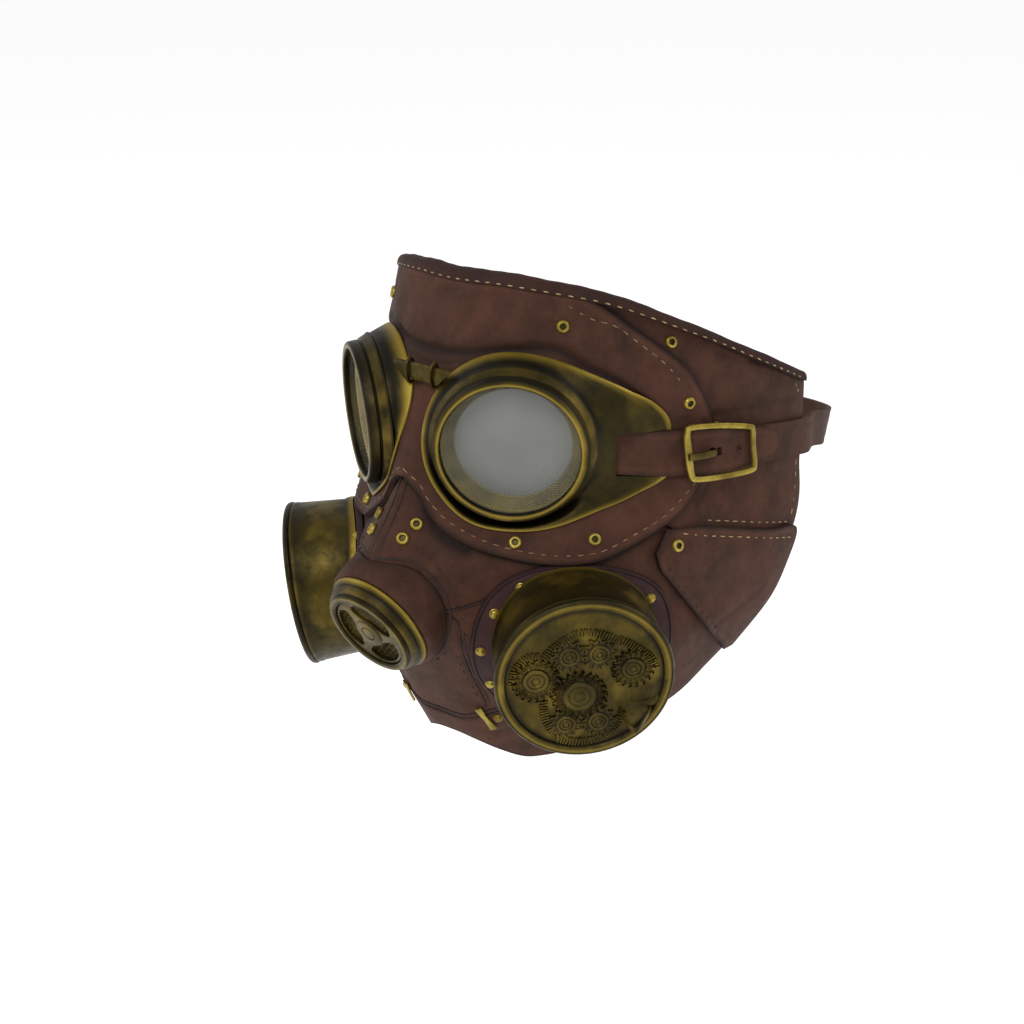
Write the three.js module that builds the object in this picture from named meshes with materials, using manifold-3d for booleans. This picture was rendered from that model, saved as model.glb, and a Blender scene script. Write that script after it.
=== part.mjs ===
// Costume mask in the style of an old gas mask: leather panels over the face, two brass goggles,
// a grilled front valve, two round canisters, buckled side straps and a strap round the head.
// Millimetres and degrees. The face looks along -Y, +X is the wearer's left and +Z is up.
import * as THREE from 'three';
import { mergeVertices } from 'three/addons/utils/BufferGeometryUtils.js';
import Module from 'manifold-3d';

const wasm = await Module();
wasm.setup();

// Main sizes of the leather face
const maskHeight = 206; // forehead edge to chin, which every level in the tables is a share of
const faceHalfWidth = 84; // half the width over the cheeks, which the section radii are shares of
const leather = 2; // wall of a leather panel
const layerGap = 0.8; // from the inner layer of panels to the outer one
const seatGap = 0.35; // between a fitting and what it sits on
const bindingHeight = 4.2; // rolled binding along the top edge
const bindingProud = 0.7; // how far the binding stands out past the panels
const headSeatLevel = 40; // level of the point inside the brow where the mask sits on the forehead

// Goggles
const lensSpacing = 80; // between the two lens centres
const lensStandoff = 16.26; // each lens centre out from the face, square to the head axis
const goggleYaw = 34.5; // each goggle turned out to its side
const gogglePitch = 4.5; // and tipped down
const goggleHeightShare = 0.955; // each goggle is a little wider than it is high
const lensRadius = 26.5; // the part of the glass that shows, across
const rimRadius = 32.4; // at the back of the rim
const rimFrontRadius = 29.6; // the rim narrows towards its front
const rimDepth = 7; // from the lens plane back to the cup
const rimProud = 2.2; // from the lens plane to the front of the rim
const lensThickness = 2;
const cupBore = 28;
const cupLip = 1.3; // edge of the brass cup where it meets the leather
const eyeHoleRadius = 24.5;
const bridgeBandHeight = 7;
const bridgeBandThickness = 2.8;
const bridgeBandStandoff = 2.4; // clear of the brow
const bridgeBandLevel = 24.4;
const bridgeRingOffset = 6.4; // each wire ring from the middle of the band
const bridgeWire = 1.3;
const bridgeBandReach = 17; // from the middle of the band to each end, before the goggles cut it
const bridgeFlareStart = 8.4; // where each end begins to widen
const bridgeFlareSpan = 22.9; // past which it would be twice as wide
const bridgeDropLength = 125; // the ends drop by the square of their reach over this

// Straps and buckles
const strapThickness = 1.8;
const goggleStrapWidth = 16.8;
const headStrapWidth = 14.6;
const headLoopHalfWidth = 82; // plan ellipse that the strap follows behind the head
const headLoopDepth = 102;
const headLoopSetback = 35; // its centre behind the head axis
const buckleWire = 2.2;
const buckleFrontAngle = 78.4; // bars of the buckle, by their angle round the head
const buckleMiddleAngle = 88.6;
const buckleRearAngle = 97.8;
const prongWidth = 2.4;
const prongSlotLength = 4.6;
const strapHoleWidth = 1.6;
const strapHoleAngle = 94.6;

// Front valve
const valveStandoff = 12.384; // centre of the grille out from the face
const valveLevelShare = -0.3534; // and its level, as a share of maskHeight
const valvePitch = 28;
const grilleRadius = 15.8;
const grilleThickness = 1.6;
const valveRingRadius = 22.6;
const valveInnerRadius = 19;
const collarBaseRadius = 24.6;
const collarFrontRadius = 23.8;
const collarFront = -7.2; // its front edge behind the grille
const valveHoleRadius = 14;

// Canisters
const canisterAngle = 45.93; // centre of each face, round the head
const canisterStandoff = 28.79; // and out from the leather
const canisterLevelShare = -0.3956; // and its level, as a share of maskHeight
const canisterYaw = 49;
const canisterPitch = 10;
const canisterRadius = 34.2;
const canisterRearRadius = 31.6;
const canisterWall = 1.8;
const canisterFaceThickness = 2.6;
const faceRimWidth = 4.4; // flat border round the recess that holds the gears
const faceRecessRadius = canisterRadius - faceRimWidth;
const gearRelief = 1.1;
const flangeBore = 27;
const flangeRadius = 40;
const flangeThickness = 2;

// Small brass
const eyeletRadius = 2.5;
const eyeletBore = 1.1;
const eyeletHeight = 1.2;
const clipWidth = 2.6;
const clipThickness = 1.2;
const tabWidth = 2.2;
const tabThickness = 1.1;

const roundSegments = 24; // sides of the large round pieces

const degrees = (value) => value * Math.PI / 180;

const materials = {
  leather: new THREE.MeshStandardMaterial({ color: 0x50302a, roughness: 0.75, metalness: 0 }),
  darkLeather: new THREE.MeshStandardMaterial({ color: 0x3a231c, roughness: 0.7, metalness: 0 }),
  flangeLeather: new THREE.MeshStandardMaterial({ color: 0x42292b, roughness: 0.7, metalness: 0 }),
  brass: new THREE.MeshStandardMaterial({ color: 0x5a4c1f, roughness: 0.45, metalness: 0.9 }),
  brightBrass: new THREE.MeshStandardMaterial({ color: 0x9c8b45, roughness: 0.35, metalness: 0.9 }),
  glass: new THREE.MeshStandardMaterial({ color: 0x8f9490, roughness: 0.1, metalness: 0, opacity: 0.5 }),
};

// Smooth curve through uneven knots, straight on past its ends
function curve(knots, values, at) {
  const last = knots.length - 1;
  const slope = (i) => {
    const from = Math.max(i - 1, 0);
    const to = Math.min(i + 1, last);
    return (values[to] - values[from]) / (knots[to] - knots[from]);
  };
  if (at <= knots[0]) return values[0] + slope(0) * (at - knots[0]);
  if (at >= knots[last]) return values[last] + slope(last) * (at - knots[last]);
  let i = 0;
  while (at > knots[i + 1]) i += 1;
  const width = knots[i + 1] - knots[i];
  const t = (at - knots[i]) / width;
  return (2 * t ** 3 - 3 * t ** 2 + 1) * values[i] + (t ** 3 - 2 * t ** 2 + t) * width * slope(i)
    + (3 * t ** 2 - 2 * t ** 3) * values[i + 1] + (t ** 3 - t ** 2) * width * slope(i + 1);
}

// Plan sections of the face from chin to forehead: each level is a share of maskHeight, and the
// radii round the head axis, at the angles below, are shares of faceHalfWidth
const sectionAngles = { nose: 0, noseSide: 10, eye: 26, cheek: 46, temple: 70, side: 95, back: 128 };
const sections = [
  { level: -0.689, nose: 0.702, noseSide: 0.694, eye: 0.66, cheek: 0.623, temple: 0.581, side: 0.574, back: 0.623 },
  { level: -0.592, nose: 0.833, noseSide: 0.831, eye: 0.788, cheek: 0.716, temple: 0.705, side: 0.726, back: 0.777 },
  { level: -0.505, nose: 0.94, noseSide: 0.939, eye: 0.898, cheek: 0.843, temple: 0.837, side: 0.839, back: 0.901 },
  { level: -0.388, nose: 1.119, noseSide: 1.105, eye: 1.042, cheek: 0.958, temple: 0.978, side: 0.966, back: 1.09 },
  { level: -0.301, nose: 1.262, noseSide: 1.202, eye: 1.03, cheek: 0.975, temple: 0.984, side: 0.994, back: 1.167 },
  { level: -0.218, nose: 1.298, noseSide: 1.193, eye: 1.005, cheek: 0.985, temple: 0.981, side: 1.002, back: 1.217 },
  { level: -0.107, nose: 1.129, noseSide: 1.002, eye: 0.872, cheek: 0.886, temple: 0.899, side: 0.964, back: 1.207 },
  { level: 0, nose: 1.016, noseSide: 0.931, eye: 0.825, cheek: 0.802, temple: 0.826, side: 0.933, back: 1.205 },
  { level: 0.117, nose: 0.885, noseSide: 0.882, eye: 0.826, cheek: 0.811, temple: 0.844, side: 0.933, back: 1.184 },
  { level: 0.218, nose: 0.789, noseSide: 0.794, eye: 0.787, cheek: 0.765, temple: 0.795, side: 0.88, back: 1.143 },
  { level: 0.311, nose: 0.672, noseSide: 0.676, eye: 0.692, cheek: 0.715, temple: 0.774, side: 0.849, back: 1.054 },
];

const sectionNames = Object.keys(sectionAngles);
const sectionLevels = sections.map((row) => row.level * maskHeight);
const sectionRadii = sectionNames.map((name) => sections.map((row) => row[name] * faceHalfWidth));
const angleKnots = [-sectionAngles.noseSide, ...Object.values(sectionAngles)];

// Radius of the face round the head axis, alike on both sides
function faceRadius(angle, level) {
  const radii = sectionRadii.map((column) => curve(sectionLevels, column, level));
  return curve(angleKnots, [radii[1], ...radii], Math.abs(angle));
}

// The upright head axis, which the angles turn about: how far it lies behind the lens centres, so
// that they stand lensStandoff out from the face
function axisBehindLenses() {
  const reach = lensSpacing / 2;
  let depth = faceHalfWidth;
  for (let i = 0; i < 60; i += 1) {
    const angle = Math.atan2(reach, depth) * 180 / Math.PI;
    depth = Math.sqrt((faceRadius(angle, 0) + lensStandoff) ** 2 - reach ** 2);
  }
  return depth;
}

const headAxisDepth = axisBehindLenses();

// A point on the face, or lifted off it
function skin(angle, level, lift = 0) {
  const radius = faceRadius(angle, level) + lift;
  const turn = degrees(angle);
  return new THREE.Vector3(radius * Math.sin(turn), headAxisDepth - radius * Math.cos(turn), level);
}

// Lifts off the face of the two layers of leather panels
const innerLayer = { under: -leather, over: 0 };
const outerLayer = { under: layerGap, over: layerGap + leather };

// Top edge of the mask: its level, as a share of maskHeight, at angles round the head
const topLine = [
  { angle: 0, level: 0.298 },
  { angle: 20, level: 0.299 },
  { angle: 40, level: 0.287 },
  { angle: 60, level: 0.262 },
  { angle: 87, level: 0.194 },
  { angle: 103, level: 0.139 },
  { angle: 121, level: 0.07 },
];
const topEdgeEnd = topLine[topLine.length - 1].angle;

function topEdge(angle) {
  const knots = [-topLine[1].angle, ...topLine.map((row) => row.angle)];
  const levels = [topLine[1].level, ...topLine.map((row) => row.level)];
  return curve(knots, levels, Math.abs(angle)) * maskHeight;
}

const underBinding = (angle) => topEdge(angle) - bindingHeight - seatGap;

// Shapes as closed meshes
function outward(geometry) {
  const position = geometry.attributes.position;
  const index = geometry.index.array;
  const corner = (i) => new THREE.Vector3().fromBufferAttribute(position, index[i]);
  let volume = 0;
  for (let i = 0; i < index.length; i += 3) {
    volume += corner(i).dot(corner(i + 1).cross(corner(i + 2)));
  }
  if (volume < 0) {
    for (let i = 0; i < index.length; i += 3) {
      [index[i], index[i + 1]] = [index[i + 1], index[i]];
    }
  }
  geometry.computeVertexNormals();
  return geometry;
}

function merged(geometry) {
  geometry.deleteAttribute('normal');
  geometry.deleteAttribute('uv');
  const welded = mergeVertices(geometry, 1e-4);
  const index = [];
  for (let i = 0; i < welded.index.count; i += 3) {
    const [a, b, c] = welded.index.array.slice(i, i + 3);
    if (a !== b && b !== c && c !== a) index.push(a, b, c);
  }
  welded.setIndex(index);
  return outward(welded);
}

// A closed body through rings of points, joined end to end or capped at both ends. Past the ring
// turnAt its facets are split the other way, so that a body that is alike on both sides stays so.
function loft(rings, closed = false, turnAt = rings.length) {
  const count = rings[0].length;
  const positions = rings.flat().flatMap((point) => point.toArray());
  const index = [];
  const steps = closed ? rings.length : rings.length - 1;
  for (let i = 0; i < steps; i += 1) {
    const here = i * count;
    const next = ((i + 1) % rings.length) * count;
    for (let j = 0; j < count; j += 1) {
      const k = (j + 1) % count;
      if (i < turnAt) index.push(here + j, next + j, next + k, here + j, next + k, here + k);
      else index.push(here + j, next + j, here + k, next + j, next + k, here + k);
    }
  }
  if (!closed) {
    const end = (rings.length - 1) * count;
    for (let low = 0, high = count - 1; high - low > 1; low += 1, high -= 1) {
      index.push(low, low + 1, high, end + low, end + high, end + low + 1);
      if (high - low > 2) {
        index.push(low + 1, high - 1, high, end + low + 1, end + high, end + high - 1);
      }
    }
  }
  const geometry = new THREE.BufferGeometry();
  geometry.setAttribute('position', new THREE.Float32BufferAttribute(positions, 3));
  geometry.setIndex(index);
  return outward(geometry);
}

// A turned body about local Z from [radius, height] pairs, from axis to axis or round a bore
function turned(profile, segments = roundSegments) {
  const points = profile.map(([radius, height]) => new THREE.Vector2(radius, height));
  if (points[0].x > 0) points.push(points[0].clone());
  return merged(new THREE.LatheGeometry(points, segments).rotateX(Math.PI / 2));
}

function toSolid(geometry) {
  const clean = merged(geometry.clone());
  const mesh = new wasm.Mesh({
    numProp: 3,
    vertProperties: new Float32Array(clean.attributes.position.array),
    triVerts: new Uint32Array(clean.index.array),
  });
  return new wasm.Manifold(mesh);
}

function fromSolid(solid) {
  const mesh = solid.getMesh();
  const geometry = new THREE.BufferGeometry();
  geometry.setAttribute('position', new THREE.Float32BufferAttribute(mesh.vertProperties, 3));
  geometry.setIndex(Array.from(mesh.triVerts));
  return outward(geometry);
}

const cut = (body, ...tools) => fromSolid(tools.reduce((rest, tool) => rest.subtract(toSolid(tool)), toSolid(body)));
const join = (body, ...more) => fromSolid(more.reduce((whole, piece) => whole.add(toSolid(piece)), toSolid(body)));

// Where a fitting sits: its centre, with local Z along its axis, local X towards its side and local Y up
function placeFitting(centre, yaw, pitch) {
  const turn = degrees(yaw);
  const tip = degrees(pitch);
  const across = new THREE.Vector3(Math.cos(turn), Math.sin(turn), 0);
  const axis = new THREE.Vector3(
    Math.sin(turn) * Math.cos(tip),
    -Math.cos(turn) * Math.cos(tip),
    -Math.sin(tip),
  );
  const up = new THREE.Vector3().crossVectors(axis, across);
  return new THREE.Matrix4().makeBasis(across, up, axis).setPosition(centre);
}

const goggleCentre = new THREE.Vector3(lensSpacing / 2, 0, 0);
const gogglePlace = placeFitting(goggleCentre, goggleYaw, gogglePitch)
  .scale(new THREE.Vector3(1, goggleHeightShare, 1));
const valveCentre = skin(0, valveLevelShare * maskHeight, valveStandoff);
const valvePlace = placeFitting(valveCentre, 0, valvePitch);
const canisterCentre = skin(canisterAngle, canisterLevelShare * maskHeight, canisterStandoff);
const canisterPlace = placeFitting(canisterCentre, canisterYaw, canisterPitch);

// How far back along a fitting's axis the lifted face lies, under the local point x, y
function faceBehind(place, x, y, lift) {
  const isOutside = (height) => {
    const point = new THREE.Vector3(x, y, height).applyMatrix4(place);
    const reach = Math.hypot(point.x, point.y - headAxisDepth);
    const angle = Math.atan2(point.x, headAxisDepth - point.y) * 180 / Math.PI;
    return reach > faceRadius(angle, point.z) + lift;
  };
  const searchStep = 1.5;
  let outside = 12;
  let inside = outside - searchStep;
  while (isOutside(inside)) {
    outside = inside;
    inside -= searchStep;
  }
  for (let i = 0; i < 16; i += 1) {
    const middle = (outside + inside) / 2;
    if (isOutside(middle)) outside = middle;
    else inside = middle;
  }
  return outside;
}

// The top level group, moved so that the origin is the seat on the forehead
const mask = new THREE.Group();
mask.position.set(0, -skin(0, headSeatLevel, outerLayer.under).y, -headSeatLevel);
const unplaced = new THREE.Matrix4();

function addPiece(parent, name, geometry, material, place = unplaced) {
  const mesh = new THREE.Mesh(geometry, material);
  mesh.name = name;
  place.decompose(mesh.position, mesh.quaternion, mesh.scale);
  parent.add(mesh);
}

function mirrored(geometry) {
  const copy = geometry.clone().scale(-1, 1, 1);
  return outward(copy);
}

function mirroredPlace(place) {
  const flip = new THREE.Matrix4().makeScale(-1, 1, 1);
  return flip.clone().multiply(place).multiply(flip);
}

function addPair(parent, name, geometry, material, place = unplaced) {
  addPiece(parent, `${name}_left`, geometry, material, place);
  addPiece(parent, `${name}_right`, mirrored(geometry), material, mirroredPlace(place));
}

// A leather panel through ribs that run from its low edge to its high edge. Angles are in degrees
// round the head, levels are shares of maskHeight, bow swings the middle of a rib backwards, and
// tuck sinks its high end, as a share of the leather, where another panel laps over it.
function panel(ribs, layer, columns, rows, middle = columns) {
  const knots = ribs.map((rib, i) => i);
  const read = (name, at) => curve(knots, ribs.map((rib) => rib[name] ?? 0), at);
  const rings = [];
  for (let i = 0; i <= columns; i += 1) {
    const at = i / columns * (ribs.length - 1);
    const lowAngle = read('lowAngle', at);
    const highAngle = read('highAngle', at);
    const low = read('low', at) * maskHeight;
    const high = read('high', at) * maskHeight;
    const bow = read('bow', at);
    const tuck = read('tuck', at) * leather;
    const line = [];
    for (let j = 0; j <= rows; j += 1) {
      const t = j / rows;
      const angle = lowAngle + (highAngle - lowAngle) * t + bow * 4 * t * (1 - t);
      const level = low + (high - low) * t;
      line.push([angle, Math.min(level, underBinding(angle)), j === rows ? tuck : 0]);
    }
    const over = line.map(([angle, level, sunk]) => skin(angle, level, layer.over - sunk));
    const under = line.map(([angle, level, sunk]) => skin(angle, level, layer.under - sunk));
    rings.push([...over, ...under.reverse()]);
  }
  return loft(rings, false, middle);
}

// The same ribs on both sides of the first one, which stands on the middle line
function bothSides(ribs) {
  const other = ribs.slice(1).reverse().map((rib) => ({
    ...rib,
    lowAngle: -rib.lowAngle,
    highAngle: -rib.highAngle,
  }));
  return [...other, ...ribs];
}

const toTop = 0.32; // a level past the top edge, where the panel is trimmed under the binding

const browRibs = [
  { lowAngle: 0, low: -0.066, highAngle: 0, high: toTop },
  { lowAngle: 4.5, low: -0.092, highAngle: 4.5, high: toTop },
  { lowAngle: 8, low: -0.131, highAngle: 8, high: toTop },
  { lowAngle: 14, low: -0.165, highAngle: 14, high: toTop },
  { lowAngle: 24, low: -0.199, highAngle: 24, high: toTop },
  { lowAngle: 36, low: -0.214, highAngle: 36, high: toTop },
  { lowAngle: 50, low: -0.211, highAngle: 47, high: 0.27 },
  { lowAngle: 60, low: -0.187, highAngle: 55, high: 0.242 },
  { lowAngle: 70, low: -0.16, highAngle: 63, high: 0.208 },
  { lowAngle: 78, low: -0.131, highAngle: 72, high: 0.167 },
  { lowAngle: 84, low: -0.096, highAngle: 80.5, high: 0.121 },
  { lowAngle: 88.5, low: -0.058, highAngle: 87, high: 0.056 },
  { lowAngle: 90.5, low: -0.034, highAngle: 91, high: -0.005 },
];

const lowerRibs = [
  { lowAngle: 0, low: -0.619, highAngle: 0, high: -0.024, tuck: 0.4 },
  { lowAngle: 5, low: -0.621, highAngle: 5, high: -0.049, tuck: 0.4 },
  { lowAngle: 10, low: -0.629, highAngle: 9, high: -0.092, tuck: 0.4 },
  { lowAngle: 18, low: -0.648, highAngle: 14, high: -0.126, tuck: 0.4 },
  { lowAngle: 27, low: -0.665, highAngle: 24, high: -0.16, tuck: 0.4 },
  { lowAngle: 36, low: -0.661, highAngle: 36, high: -0.175, tuck: 0.4 },
  { lowAngle: 48, low: -0.65, highAngle: 49, high: -0.172, tuck: 0.4 },
  { lowAngle: 62, low: -0.631, highAngle: 59, high: -0.153, tuck: 0.4 },
  { lowAngle: 77, low: -0.592, highAngle: 66, high: -0.146, tuck: 0.3 },
  { lowAngle: 92, low: -0.536, highAngle: 72, high: -0.172, tuck: 0.1 },
  { lowAngle: 105, low: -0.464, highAngle: 78, high: -0.197, tuck: 0.1 },
];

const templeRibs = [
  { lowAngle: 66, low: -0.141, highAngle: 43, high: toTop, bow: 9 },
  { lowAngle: 72, low: -0.167, highAngle: 56, high: toTop, bow: 7 },
  { lowAngle: 78, low: -0.191, highAngle: 72, high: toTop, bow: 5 },
  { lowAngle: 87, low: -0.211, highAngle: 83, high: toTop, bow: 3 },
  { lowAngle: 98, low: -0.231, highAngle: 95, high: toTop, bow: 1 },
  { lowAngle: 109, low: -0.25, highAngle: 109, high: toTop, bow: 1 },
  { lowAngle: 119.3, low: -0.267, highAngle: topEdgeEnd, high: toTop, bow: 4 },
];

const cheekRibs = [
  { lowAngle: 66.6, low: -0.206, highAngle: 70.5, high: -0.168 },
  { lowAngle: 67.5, low: -0.238, highAngle: 80, high: -0.172 },
  { lowAngle: 70.7, low: -0.267, highAngle: 93, high: -0.194 },
  { lowAngle: 76, low: -0.313, highAngle: 107, high: -0.221 },
  { lowAngle: 83, low: -0.369, highAngle: 118.8, high: -0.242 },
  { lowAngle: 89, low: -0.41, highAngle: 117.6, high: -0.318 },
  { lowAngle: 95, low: -0.439, highAngle: 112, high: -0.398 },
  { lowAngle: 99.5, low: -0.466, highAngle: 104.5, high: -0.466 },
];

const farAlongAxis = 60; // clear of the leather on both sides, for what is cut right through
const cupFootRadius = rimRadius * 1.04; // the cup's foot where the leather stands up round it
const cupFoot = -rimDepth - seatGap - cupLip; // and its least depth behind the lens plane

// A straight round bar along a fitting's axis, for the holes
function boreTool(radius, from, to, place) {
  return turned([[0, from], [radius, from], [radius, to], [0, to]]).applyMatrix4(place);
}

const browPanel = (layer) => panel(bothSides(browRibs), layer, 32, 6, 16);

function addLeather() {
  const group = new THREE.Group();
  const eyeHole = boreTool(eyeHoleRadius, -farAlongAxis, farAlongAxis, gogglePlace);
  const goggleSeat = boreTool(cupFootRadius + seatGap, cupFoot - seatGap, farAlongAxis, gogglePlace);
  const openings = [eyeHole, goggleSeat, mirrored(eyeHole), mirrored(goggleSeat)];
  addPiece(group, 'brow_mask', cut(browPanel(outerLayer), ...openings), materials.leather);
  const valveHole = boreTool(valveHoleRadius, -farAlongAxis, farAlongAxis, valvePlace);
  const lower = cut(panel(bothSides(lowerRibs), innerLayer, 30, 9, 15), valveHole, ...openings);
  addPiece(group, 'lower_mask', lower, materials.leather);
  addPair(group, 'temple_panel', panel(templeRibs, innerLayer, 8, 8), materials.leather);
  addPair(group, 'cheek_panel', panel(cheekRibs, outerLayer, 9, 3), materials.leather);
  mask.add(group);
}

// The brow with everything behind it, grown by the seat gap, to shape what sits on its leather
function browForm() {
  const behind = browPanel({ under: -farAlongAxis / 2, over: outerLayer.over + seatGap });
  return cut(behind, boreTool(cupFootRadius, cupFoot, farAlongAxis, gogglePlace));
}

// The rolled binding along the whole top edge, round on top
function addBinding() {
  const inner = innerLayer.under - bindingProud;
  const outer = outerLayer.over + bindingProud;
  const width = outer - inner;
  const section = [[0, 0], [1, 0], [1, 0.6], [0.72, 1], [0.28, 1], [0, 0.6]];
  const steps = 32;
  const rings = [];
  for (let i = 0; i <= steps; i += 1) {
    const angle = topEdgeEnd * (2 * i / steps - 1);
    const base = topEdge(angle) - bindingHeight;
    rings.push(section.map(([out, up]) => skin(angle, base + up * bindingHeight, inner + out * width)));
  }
  addPiece(mask, 'top_binding', loft(rings), materials.darkLeather);
}

// Outline of the goggle's cup on the leather, as radii round the lens axis in shares of rimRadius.
// The long stretch past 0 degrees is the pair of wings that hold the strap between them.
const cupOutline = [
  { angle: -180, radius: 1.09 },
  { angle: -125, radius: 1.08 },
  { angle: -85, radius: 1.07 },
  { angle: -58, radius: 1.14 },
  { angle: -40, radius: 1.29 },
  { angle: -26, radius: 1.57 },
  { angle: -15.5, radius: 1.86 },
  { angle: -6, radius: 1.79 },
  { angle: 3.7, radius: 1.78 },
  { angle: 13, radius: 1.65 },
  { angle: 24.5, radius: 1.42 },
  { angle: 43, radius: 1.2 },
  { angle: 68, radius: 1.09 },
  { angle: 110, radius: 1.08 },
  { angle: 180, radius: 1.09 },
];
const cupAngles = [-170, -150, -130, -110, -90, -73, -58, -45, -34, -25, -19, -15.5, -6, 3.7, 8, 15, 25,
  38, 54, 72, 92, 112, 132, 152];

function addGoggles() {
  const group = new THREE.Group();
  const knots = cupOutline.map((row) => row.angle);
  const shares = cupOutline.map((row) => row.radius);
  const cupFront = -rimDepth - seatGap;
  const rings = cupAngles.map((angle) => {
    const x = Math.cos(degrees(angle));
    const y = Math.sin(degrees(angle));
    const edge = rimRadius * curve(knots, shares, angle);
    const at = (radius, height) => new THREE.Vector3(radius * x, radius * y, height);
    const edgeHeight = faceBehind(gogglePlace, edge * x, edge * y, outerLayer.over) + cupLip;
    const flare = rimRadius + (edge - rimRadius) * 0.45;
    const flareFace = faceBehind(gogglePlace, flare * x, flare * y, outerLayer.over) + cupLip;
    const flareHeight = Math.max(cupFront + (edgeHeight - cupFront) * 0.45, flareFace);
    const foot = Math.min(edgeHeight, cupFront) - 2 * cupLip;
    return [
      at(cupBore, cupFront),
      at(rimRadius - 0.4, cupFront),
      at(flare, flareHeight),
      at(edge, edgeHeight),
      at(edge, foot),
      at(cupBore, foot),
    ];
  });
  const toCup = gogglePlace.clone().invert();
  const rimSpace = boreTool(rimRadius + seatGap, cupFront, farAlongAxis, unplaced);
  const fittedTo = [browForm(), strapSpace()].map((form) => form.applyMatrix4(toCup));
  const cup = cut(loft(rings, true), ...fittedTo, rimSpace);
  addPair(group, 'goggle_cup', cup, materials.brass, gogglePlace);
  const glassRadius = lensRadius + 1;
  const rim = turned([
    [lensRadius, 0], [lensRadius, rimProud - 0.8], [lensRadius + 1, rimProud],
    [rimFrontRadius - 0.6, rimProud], [rimFrontRadius, rimProud - 1.2], [rimRadius, -rimDepth],
    [glassRadius + seatGap, -rimDepth], [glassRadius + seatGap, 0],
  ]);
  addPair(group, 'goggle_rim', rim, materials.brass, gogglePlace);
  const lens = turned([
    [0, -seatGap], [glassRadius, -seatGap], [glassRadius, -seatGap - lensThickness],
    [0, -seatGap - lensThickness],
  ]);
  addPair(group, 'goggle_lens', lens, materials.glass, gogglePlace);
  mask.add(group);
}

// The short band between the goggles, flared at both ends, with a wire ring near each end
function addBridge() {
  const front = skin(0, bridgeBandLevel, outerLayer.over + bridgeBandStandoff).y;
  const drop = (x) => x * x / bridgeDropLength;
  const sides = 8;
  const rings = [];
  for (let i = -5; i <= 5; i += 1) {
    const x = bridgeBandReach * i / 5;
    const flare = 1 + Math.max(0, Math.abs(x) - bridgeFlareStart) / bridgeFlareSpan;
    const dip = drop(x);
    const ring = [];
    for (let k = 0; k < sides; k += 1) {
      const turn = 2 * Math.PI * k / sides;
      const y = front - bridgeBandThickness / 2 * (1 + Math.cos(turn)) + dip / 2;
      const z = bridgeBandLevel + bridgeBandHeight / 2 * Math.sin(turn) * flare - dip;
      ring.push(new THREE.Vector3(x, y, z));
    }
    rings.push(ring);
  }
  const goggleClearance = rimRadius * 1.1 + seatGap;
  const goggleBody = boreTool(goggleClearance, -farAlongAxis, farAlongAxis, gogglePlace);
  const band = cut(loft(rings), goggleBody, mirrored(goggleBody));
  addPiece(mask, 'bridge_band', band, materials.brass);
  const wireCentre = seatGap + bridgeWire / 2;
  const ring = new THREE.TorusGeometry(1, 0.1, 4, 12);
  const spot = ring.attributes.position;
  for (let i = 0; i < spot.count; i += 1) {
    const point = new THREE.Vector3().fromBufferAttribute(spot, i);
    const turn = Math.atan2(point.y, point.x);
    const out = (Math.hypot(point.x, point.y) - 1) / 0.1 * bridgeWire / 2;
    const y = (bridgeBandThickness / 2 + wireCentre + out) * Math.cos(turn);
    const z = (bridgeBandHeight / 2 + wireCentre + out) * Math.sin(turn);
    spot.setXYZ(i, point.z * 10 * bridgeWire / 2, y, z);
  }
  const ringSolid = merged(ring);
  const dip = drop(bridgeRingOffset);
  const ringPlace = new THREE.Matrix4().makeTranslation(
    bridgeRingOffset,
    front - bridgeBandThickness / 2 + dip / 2,
    bridgeBandLevel - dip,
  );
  addPair(mask, 'bridge_ring', ringSolid, materials.brightBrass, ringPlace);
}

// Route of the goggle strap from its notch to its tongue: angle round the head, level as a share
// of maskHeight, width as a share of goggleStrapWidth, and lift as layers of strapThickness that
// it rides above the brow mask, where it climbs over the buckle's middle bar and the head strap
const goggleStrapRoute = [
  { angle: 57, level: -0.021, width: 0.92, lift: 0.1 },
  { angle: 64, level: -0.025, width: 0.95, lift: 0.15 },
  { angle: 71, level: -0.029, width: 1, lift: 0.2 },
  { angle: 78.4, level: -0.032, width: 1, lift: 0.3 },
  { angle: 83, level: -0.034, width: 1, lift: 0.8 },
  { angle: 88.6, level: -0.036, width: 1, lift: 1.5 },
  { angle: 93, level: -0.038, width: 0.94, lift: 1.2 },
  { angle: 98.8, level: -0.04, width: 0.84, lift: 0.85 },
  { angle: 103, level: -0.041, width: 0.78, lift: 0.75 },
  { angle: 106, level: -0.042, width: 0.56, lift: 0.7 },
  { angle: 107.2, level: -0.042, width: 0.26, lift: 0.7 },
];
const routeAngles = goggleStrapRoute.map((row) => row.angle);
const alongRoute = (name, angle) => curve(routeAngles, goggleStrapRoute.map((row) => row[name]), angle);
const strapLevel = (angle) => alongRoute('level', angle) * maskHeight;
const strapLift = (angle) => outerLayer.over + seatGap + alongRoute('lift', angle) * strapThickness;

// One cross-section of a flat strap lying along the face
function strapSection(angle, level, width, lift) {
  const low = level - width / 2;
  const high = level + width / 2;
  return [
    skin(angle, low, lift + strapThickness),
    skin(angle, high, lift + strapThickness),
    skin(angle, high, lift),
    skin(angle, low, lift),
  ];
}

// The room that the goggle strap takes between the wings of the cup
function strapSpace() {
  const start = goggleStrapRoute[0].angle - 0.4;
  const rings = [start, 64, 71, 78, 84].map((angle) => {
    const width = alongRoute('width', angle) * goggleStrapWidth + 2 * seatGap;
    const low = strapLevel(angle) - width / 2;
    const high = strapLevel(angle) + width / 2;
    const height = 20;
    return [skin(angle, low, height), skin(angle, high, height), skin(angle, high), skin(angle, low)];
  });
  return loft(rings);
}

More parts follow.
